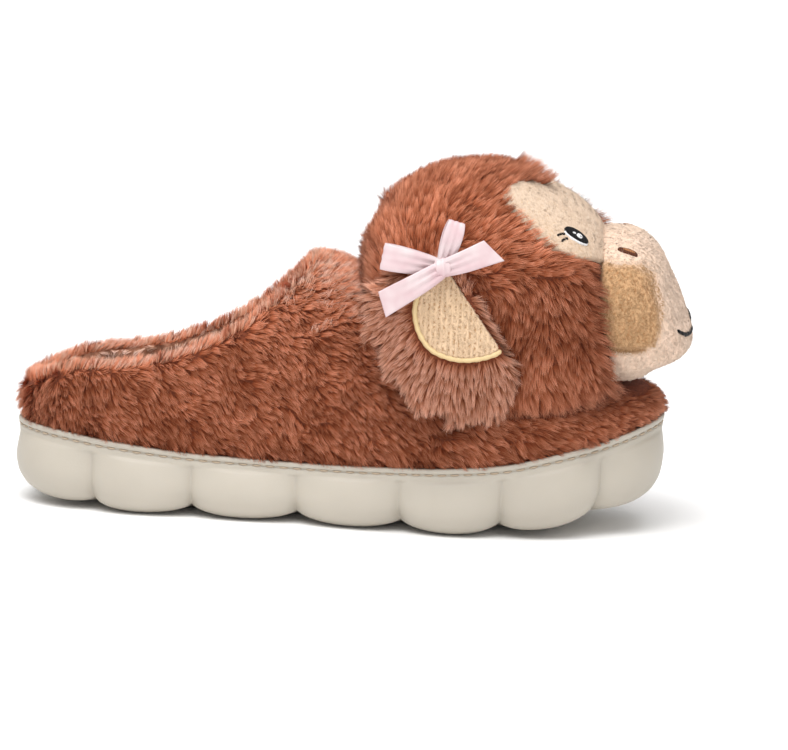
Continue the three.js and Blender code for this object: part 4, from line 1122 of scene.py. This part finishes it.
# Patches of an eye: place outward and up, half width and height, thickness, rings, evening, white
EYE_PATCHES = (
    ("eye_rim", 0.55, -0.3, 3.6, 6.4, 0.5, 8, 2, True),
    ("eye_stitch", 0.0, 0.0, 3.5, 6.3, 0.9, 10, 2, False),
    ("eye_glint", 0.9, -0.9, 1.25, 1.6, 0.35, 5, 1, True),
    ("eye_pupil", 1.0, -1.3, 0.5, 0.6, 0.6, 4, 1, False),
    ("eye_spark", 1.4, 1.6, 0.45, 0.9, 0.3, 4, 1, True),
)
LASHES = (((3.3, 4.3), (6.4, 6.6)), ((4.6, 2.4), (8.0, 3.9)))


def build_eyes(panel):
    panel_tree = tree_of_piece(panel)
    for side, name in ((-1, "right"), (1, "left")):
        at = (side * 0.57 * HEAD_HALF_WIDTH, -0.145 * HEAD_RADIUS)
        spin = -side * math.radians(12)
        tree = panel_tree
        for part, out, up, wide, tall, thickness, rings, even, white in EYE_PATCHES:
            patch = lay_patch(
                f"{part}_{name}", oval(at[0] + side * out, at[1] + up, wide, tall, spin),
                lambda spots: drop(tree, HEAD, spots, FACE_TURN), thickness, rings,
                white_thread if white else black_thread, even=even,
            )
            if part == "eye_stitch":
                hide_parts("eye_" + name)
                tree = tree_of_piece(patch)
        for lash, (start, end) in enumerate(LASHES):
            shares = np.linspace(0, 1, 14)[:, None]
            line = np.array([at[0] + side * start[0], at[1] + start[1]]) * (1 - shares)
            line = line + np.array([at[0] + side * end[0], at[1] + end[1]]) * shares
            line[:, 1] += 0.5 * np.sin(math.pi * shares[:, 0])
            points, normals = drop(panel_tree, HEAD, line, FACE_TURN)
            lay_cord(
                f"lash_{name}_{lash + 1}", points, normals, 0.5, 0.5, 0.5, black_thread
            )


def build_muzzle():
    skin = skin_of("muzzle", "muzzle_skin", 2.0, 9, muzzle_plush, levels=1)
    points, normals = vertex_arrays(skin)
    local = local_points(MUZZLE, points)
    gold, seam = gold_share(local)
    x, y, z = local.T
    sides = smooth_step(20, 34, np.abs(y))
    crease = bell(z + 9.6 - 0.04 * x, 1.5) * smooth_step(16, 10, x) * sides
    chin = bell(z + 12.5, 2.4) * smooth_step(18, 28, x)
    under = bell(z + 3.0 - 0.1 * np.abs(y), 3.2) * smooth_step(22, 28, x)
    nose = np.exp(-((x - 4) ** 2 + (np.abs(y) - 20) ** 2) / 60) * smooth_step(15, 24, z)
    swell = 0.35 * ripple(local, 24.0, 61) + 0.18 * ripple(local, 9.0, 62)
    move = swell - 1.9 * crease - 0.45 * seam + 0.9 * chin - 0.8 * under - 1.0 * nose
    slope = 2.4 * bell(z - 11, 10) * smooth_step(6, 26, x)
    slope += 3.8 * smooth_step(-9, -24, z) * smooth_step(6, 24, x)
    points = points + normals * move[:, None] - np.outer(slope, turned((1.0, 0.0, 0.0), HEAD))
    points[:, 2] += 4.2 * smooth_step(-13, -29, z) * smooth_step(-8, 5, x)
    move_vertices(skin, points)
    write_attribute(skin, "gold", gold)
    # The seam attribute holds the side seams and, as painted shade, the chin crease.
    write_attribute(skin, "seam", np.clip(seam * 0.15 + crease, 0, 1))
    head = tree_of("head")
    roots, root_normals = scatter(
        skin, DENSITY["muzzle"], lambda at, _: apart(at, (head, 0.9)), np.random.default_rng(9)
    )
    share, _ = gold_share(local_points(MUZZLE, roots))
    comb = turned(same_for(roots, [-0.2, 0.0, -0.8]), HEAD)
    for name, chosen, material in (
        ("muzzle_nap_gold", share > 0.5, gold_nap),
        ("muzzle_nap_pale", share <= 0.5, pale_nap),
    ):
        add_pile(
            name, roots[chosen], root_normals[chosen], comb[chosen], NAP_LOOK, material,
            "plush_pale", 81,
        )
    return skin


GOLD_EDGE = [
    (-20.0, 24.0), (-7.0, 24.5), (1.0, 25.0), (10.0, 24.0), (16.0, 19.5), (19.5, 9.0),
    (19.2, 0.0), (17.0, -7.0), (12.0, -9.3), (1.0, -9.8), (-20.0, -9.8),
]


def gold_share(local):
    """How far each point of the muzzle is on a golden side panel, and on that panel's seam."""
    spots = local[:, [0, 2]]
    outline = np.array(GOLD_EDGE)
    fine = np.concatenate(
        [a + (b - a) * np.linspace(0, 1, 9)[:-1, None] for a, b in zip(outline, outline[1:])]
    )
    gaps = nearest_gap(spots, fine)
    signed = np.where(in_outline(outline, spots), gaps, -gaps) + 0.5 * ripple(local, 6.0, 64)
    side = smooth_step(12, 17, np.abs(local[:, 1]))
    return smooth_step(-2.2, 2.2, signed) * side, bell(signed, 0.8) * side


# The mouth from its middle to one end: shares of MUZZLE_HALF_WIDTH and HEAD_RADIUS
MOUTH_ROWS = np.array([(0.0, -0.085), (0.25, -0.065), (0.5, -0.042), (0.6, -0.015), (0.67, 0.014)])


def build_muzzle_stitches(skin):
    tree = tree_of_piece(skin)

    def finder(spots):
        return drop(tree, MUZZLE, spots, NOSTRIL_TURN)

    for side, name in ((-1, "right"), (1, "left")):
        at = (side * 0.53 * MUZZLE_HALF_WIDTH, 0.205 * HEAD_RADIUS)
        spin = side * math.radians(25)
        nostril = lay_patch(
            f"nostril_stitch_{name}", oval(*at, 2.1, 4.9, spin), finder, 0.5, 7, brown_thread,
            even=2,
        )
        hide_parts("nostril_" + name)
        inner = oval(at[0] - side * 0.3, at[1] - 0.3, 0.9, 3.1, spin)
        lay_patch(
            f"nostril_inner_{name}", inner, finder, 0.85, 6, rust_thread, even=2
        )
    side = np.linspace(-MOUTH_ROWS[-1, 0], MOUTH_ROWS[-1, 0], 150)
    up = follow(MOUTH_ROWS[:, 0], MOUTH_ROWS[:, 1], np.abs(side))
    line = np.stack([side * MUZZLE_HALF_WIDTH, up * HEAD_RADIUS], axis=1)
    points, normals = drop(tree, MUZZLE, line, MOUTH_TURN)
    mouth = lay_cord("mouth_stitch", points, normals, 0.8, 0.8, 1.3, black_thread)
    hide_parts("mouth")


def ear_arc(inset, samples=90):
    rows = np.array(EAR_PATCH_ROWS) * EAR_LENGTH
    mirrored = np.concatenate([rows, rows[-2:0:-1] * 0.2])
    open_share = polyline_share(rows, mirrored)
    arc = closed_spline(mirrored, np.linspace(0, open_share, samples))
    reach = np.linalg.norm(arc, axis=1, keepdims=True)
    return arc * (1 - inset / reach)


def polyline_share(rows, loop):
    closed = np.concatenate([loop, loop[:1]])
    total = np.linalg.norm(np.diff(closed, axis=0), axis=1).sum()
    return np.linalg.norm(np.diff(rows, axis=0), axis=1).sum() / total


def in_ear_panel(points, side, grow):
    local = local_points(ear_place(side), points)
    return in_outline(ear_arc(-grow), local[:, [0, 2]]) & (local[:, 1] * side > 0)


def build_ear(side, name):
    place = ear_place(side)
    skin = skin_of("ear_" + name, f"ear_skin_{name}", 1.5, 7, fur_under)
    tree = tree_of_piece(skin)
    head = tree_of("head")

    def finder(spots):
        return drop_sideways(tree, place, spots, side)

    arc = ear_arc(0.6 * EDGING_WIDTH)
    steps = np.linspace(0, 1, 40)[1:-1, None]
    chord = arc[-1] * (1 - steps) + arc[0] * steps
    panel = lay_patch(
        f"ear_panel_skin_{name}", np.concatenate([arc, chord]), finder, 1.3, 26, ear_plush
    )
    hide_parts("ear_panel_" + name)
    points, normals = finder(ear_arc(EDGING_WIDTH / 2, 420))
    for _ in range(30):
        middle = (np.roll(points, 1, 0) + 2 * points + np.roll(points, -1, 0)) / 4
        points[1:-1] = middle[1:-1]
    normals = unit(normals * 0.3 + unit(normals.mean(axis=0)) * 0.7)
    band = lay_cord(
        f"ear_edging_stitch_{name}", points + normals * 0.5, normals, 1.0, 1.15, STITCH_PITCH,
        gold_thread,
    )
    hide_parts("ear_edging_" + name)

    def kept(at, _):
        return apart(at, (head, 1.2)) * ~in_ear_panel(at, side, 0.2)

    rng = np.random.default_rng(11 + side)
    roots, root_normals = scatter(skin, DENSITY["ear"], kept, rng)
    x, _, z = local_points(place, roots).T
    comb = unit(np.stack([x - 4, 0 * x, z - 12], axis=1)) + np.array([-0.25, 0.0, -0.7])
    add_pile(
        f"ear_pile_{name}", roots, root_normals, turned(comb, place), EAR_LOOK, fur_pale, "fur",
        91 + side, tone=0.34,
    )
    roots, root_normals = scatter(panel, DENSITY["ear_panel"], everywhere, rng)
    comb = turned(same_for(roots, [0.1, 0.0, -1.0]), place)
    add_pile(
        f"ear_nap_{name}", roots, root_normals, comb, EAR_NAP_LOOK, ear_nap, "plush", 95 + side
    )


# Bow: two loops and two tails round a knot, each a folded strip of satin
RIBBON_WIDTH = 9.5
RIBBON_THICKNESS = 0.3
BOW_REACH = 24.0
LOOP_DEPTH = 7.0
LANES = np.linspace(-1, 1, 15)
# Each piece's name, whether it is a loop, its direction, reach, width and the slant of its end
BOW_ROWS = [
    ("bow_loop_back", True, 171, 1.02, 1.2, 0.0),
    ("bow_loop_top", True, 75, 0.8, 1.0, 0.0),
    ("bow_tail_front", False, 21, 0.9, 1.1, -0.5),
    ("bow_tail_low", False, 213, 1.18, 1.1, 0.25),
]


def ribbon_piece(name, sections, closed):
    """A strip with rounded pleats where it is gathered, both faces and its edges.

    A section holds its middle, half width, direction across, direction out and pleat height.
    """
    crease = np.cos(LANES * 3.1 * math.pi) * (1 - 0.4 * LANES**2)
    top = np.array(
        [
            middle + np.outer(LANES * half, across) + np.outer(crease * fold, out)
            for middle, half, across, out, fold in sections
        ]
    )
    shift = np.array([section[3] for section in sections])[:, None, :] * RIBBON_THICKNESS / 2
    points = np.concatenate([(top + shift).reshape(-1, 3), (top - shift).reshape(-1, 3)])
    count, width = top.shape[:2]
    offset = count * width
    faces = grid_faces(count, width, looped=closed, ringed=False)
    faces += [tuple(corner + offset for corner in (a, d, c, b)) for a, b, c, d in faces]
    rims = []
    for lane in (0, width - 1):
        line = [row * width + lane for row in range(count)]
        rims += zip(line, line[1:] + line[:1] if closed else line[1:])
    faces += [(a, d, d + offset, a + offset) for a, d in rims]
    if not closed:
        for row in (0, count - 1):
            line = range(row * width, row * width + width)
            faces += [(a, b, b + offset, a + offset) for a, b in zip(line, line[1:])]
    piece = mesh_object(name + "_satin", world_points(BOW, points), faces, satin)
    face_outward(piece.data)
    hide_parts(name)


def build_bow():
    depth = np.array([0.0, -1.0, 0.0])
    for name, is_loop, degrees, reach_share, width, skew in BOW_ROWS:
        turn = math.radians(degrees)
        along = np.array([math.cos(turn), 0.0, math.sin(turn)])
        across = np.array([-math.sin(turn), 0.0, math.cos(turn)])
        reach = reach_share * BOW_REACH
        half = RIBBON_WIDTH / 2 * width
        sections = []
        if is_loop:
            tip = 0.3 if name == "bow_loop_top" else 0.06
            for angle in np.arange(56) / 56 * 2 * math.pi:
                share = (1 - math.cos(angle)) / 2
                height = LOOP_DEPTH / 2 * math.sin(angle) * (0.35 + 0.65 * share)
                spread = (1 - tip * share**4) * (0.4 + 0.6 * math.sqrt(share))
                out = unit(-along * math.cos(angle) + depth * math.sin(angle))
                pleat = 0.7 * (1 - share) ** 2 + 0.14 * share
                middle = along * share * reach + depth * height
                sections.append((middle, half * spread, across, out, pleat))
        else:
            for share in np.linspace(0, 1, 36):
                wave = 3.4 + 1.1 * math.sin(share * math.pi * 1.5)
                spread = 0.6 + 0.4 * math.sqrt(share)
                slant = across + along * skew * share**3
                middle = along * share * reach + depth * wave
                sections.append((middle, half * spread, slant, depth, 0.7 * (1 - share) ** 2))
        ribbon_piece(name, sections, is_loop)
    knot = skin_of("bow_knot", "bow_knot_satin", 0.45, 6, satin)
    points, normals = vertex_arrays(knot)
    x, _, z = local_points(BOW, points).T
    fold = 0.22 * np.cos(x * 2.4 + 0.6 * np.sin(z * 0.7))
    move_vertices(knot, points + normals * fold[:, None])


def build_insole():
    skin = skin_of("insole", "insole_skin", 1.5, 3, fur_under)
    points, normals = vertex_arrays(skin)
    move_vertices(skin, points + normals * np.array([1.6, 1.6, 0.0]))
    write_attribute(skin, "inner", np.ones(len(points)))

    def kept(points, normals):
        rim = 1 + 1.6 * smooth_step(0.95, 0.5, normals[:, 2])
        return rim * (normals[:, 2] > -0.2) * np.where(points[:, 0] < 150, 1.0, 0.12)

    roots, normals = scatter(skin, DENSITY["insole"], kept, np.random.default_rng(13))
    edge = smooth_step(0.95, 0.5, normals[:, 2])
    comb = np.outer(1 - edge, [1.0, 0.2, 0.0])
    comb += (normals * np.array([1.0, 1.0, 0.0]) + np.array([0.0, 0.0, 0.9])) * edge[:, None]
    add_pile(
        "insole_pile", roots, normals, comb, INSOLE_LOOK, lining_fur, "lining", 41,
        scale=1 + 0.9 * edge,
    )


# Colours: pile from root to tip with its pale and dark tones, cloth and thread light and dark
# The piles' dark root colours are painted shade deep in the pile.
FUR_ROOT = (0.14, 0.024, 0.006)
FUR_TONES = ((1.5, 1.72, 1.95), (0.47, 0.34, 0.25))
# The fold's tones and colours are paler, partly as a painted highlight along the collar's fold.
FOLD_TONES = ((1.25, 1.32, 1.4), (0.7, 0.6, 0.52))
NAP_TONES = ((1.1, 1.1, 1.1), (0.84, 0.8, 0.76))
FACE_LIGHT = (0.64, 0.5, 0.38)
FACE_DARK = (0.60, 0.44, 0.31)
foam = foam_material()
fur_under = under_material("fur_under", (0.26, 0.065, 0.024), (0.12, 0.022, 0.006), (0.44, 0.2, 0.12))
fur, fur_pale, lining_fur, fold_fur, face_nap, pale_nap, gold_nap, ear_nap = (
    pile_material(name, root, middle, tip, *tones)
    for name, root, middle, tip, tones in (
        ("fur", FUR_ROOT, (0.38, 0.1, 0.042), (0.61, 0.235, 0.13), FUR_TONES),
        ("fur_pale", FUR_ROOT, (0.38, 0.13, 0.065), (0.64, 0.31, 0.2), FUR_TONES),
        ("lining_fur", (0.4, 0.19, 0.115), (0.6, 0.33, 0.22), (0.8, 0.52, 0.4), FUR_TONES),
        ("fold_fur", (0.42, 0.18, 0.1), (0.6, 0.31, 0.21), (0.78, 0.49, 0.38), FOLD_TONES),
        ("face_nap", FACE_DARK, FACE_LIGHT, (0.72, 0.56, 0.44), NAP_TONES),
        ("pale_nap", (0.66, 0.5, 0.38), (0.73, 0.57, 0.45), (0.82, 0.66, 0.54), NAP_TONES),
        ("gold_nap", (0.34, 0.19, 0.09), (0.50, 0.3, 0.15), (0.62, 0.41, 0.24), NAP_TONES),
        ("ear_nap", (0.6, 0.41, 0.25), (0.72, 0.51, 0.33), (0.8, 0.6, 0.42), NAP_TONES),
    )
)
face_plush = nap_material("face_plush", FACE_LIGHT, FACE_DARK, (0.86, 0.79, 0.71))
ear_plush = rib_material("ear_plush", (0.76, 0.54, 0.35), (0.68, 0.47, 0.29), (0.62, 0.5, 0.38))
muzzle_plush = two_tone_material()
# Each thread's dark tone is painted shade between its threads.
black_thread, white_thread, brown_thread, rust_thread = (
    thread_material(*row)
    for row in (
        ("black_thread", (0.01, 0.009, 0.01), (0.003, 0.003, 0.004), 500.0),
        ("white_thread", (0.9, 0.9, 0.9), (0.7, 0.7, 0.72), 500.0),
        ("brown_thread", (0.12, 0.04, 0.02), (0.05, 0.018, 0.01), 420.0),
        ("rust_thread", (0.42, 0.2, 0.09), (0.26, 0.1, 0.04), 420.0),
    )
)
gold_thread = cord_material("gold_thread", (0.78, 0.60, 0.34), (0.6, 0.43, 0.2), STITCH_PITCH)
satin = satin_material()

add_camera()
add_studio()
build_sole(foam)
build_rim_stitches(plain_material("rim_thread", (0.42, 0.33, 0.24), 0.6))
build_upper()
build_insole()
head_skin = build_head()
face_skin = build_face(head_skin)
build_eyes(face_skin)
muzzle_skin = build_muzzle()
build_muzzle_stitches(muzzle_skin)
for side, name in ((-1, "right"), (1, "left")):
    build_ear(side, name)
build_bow()
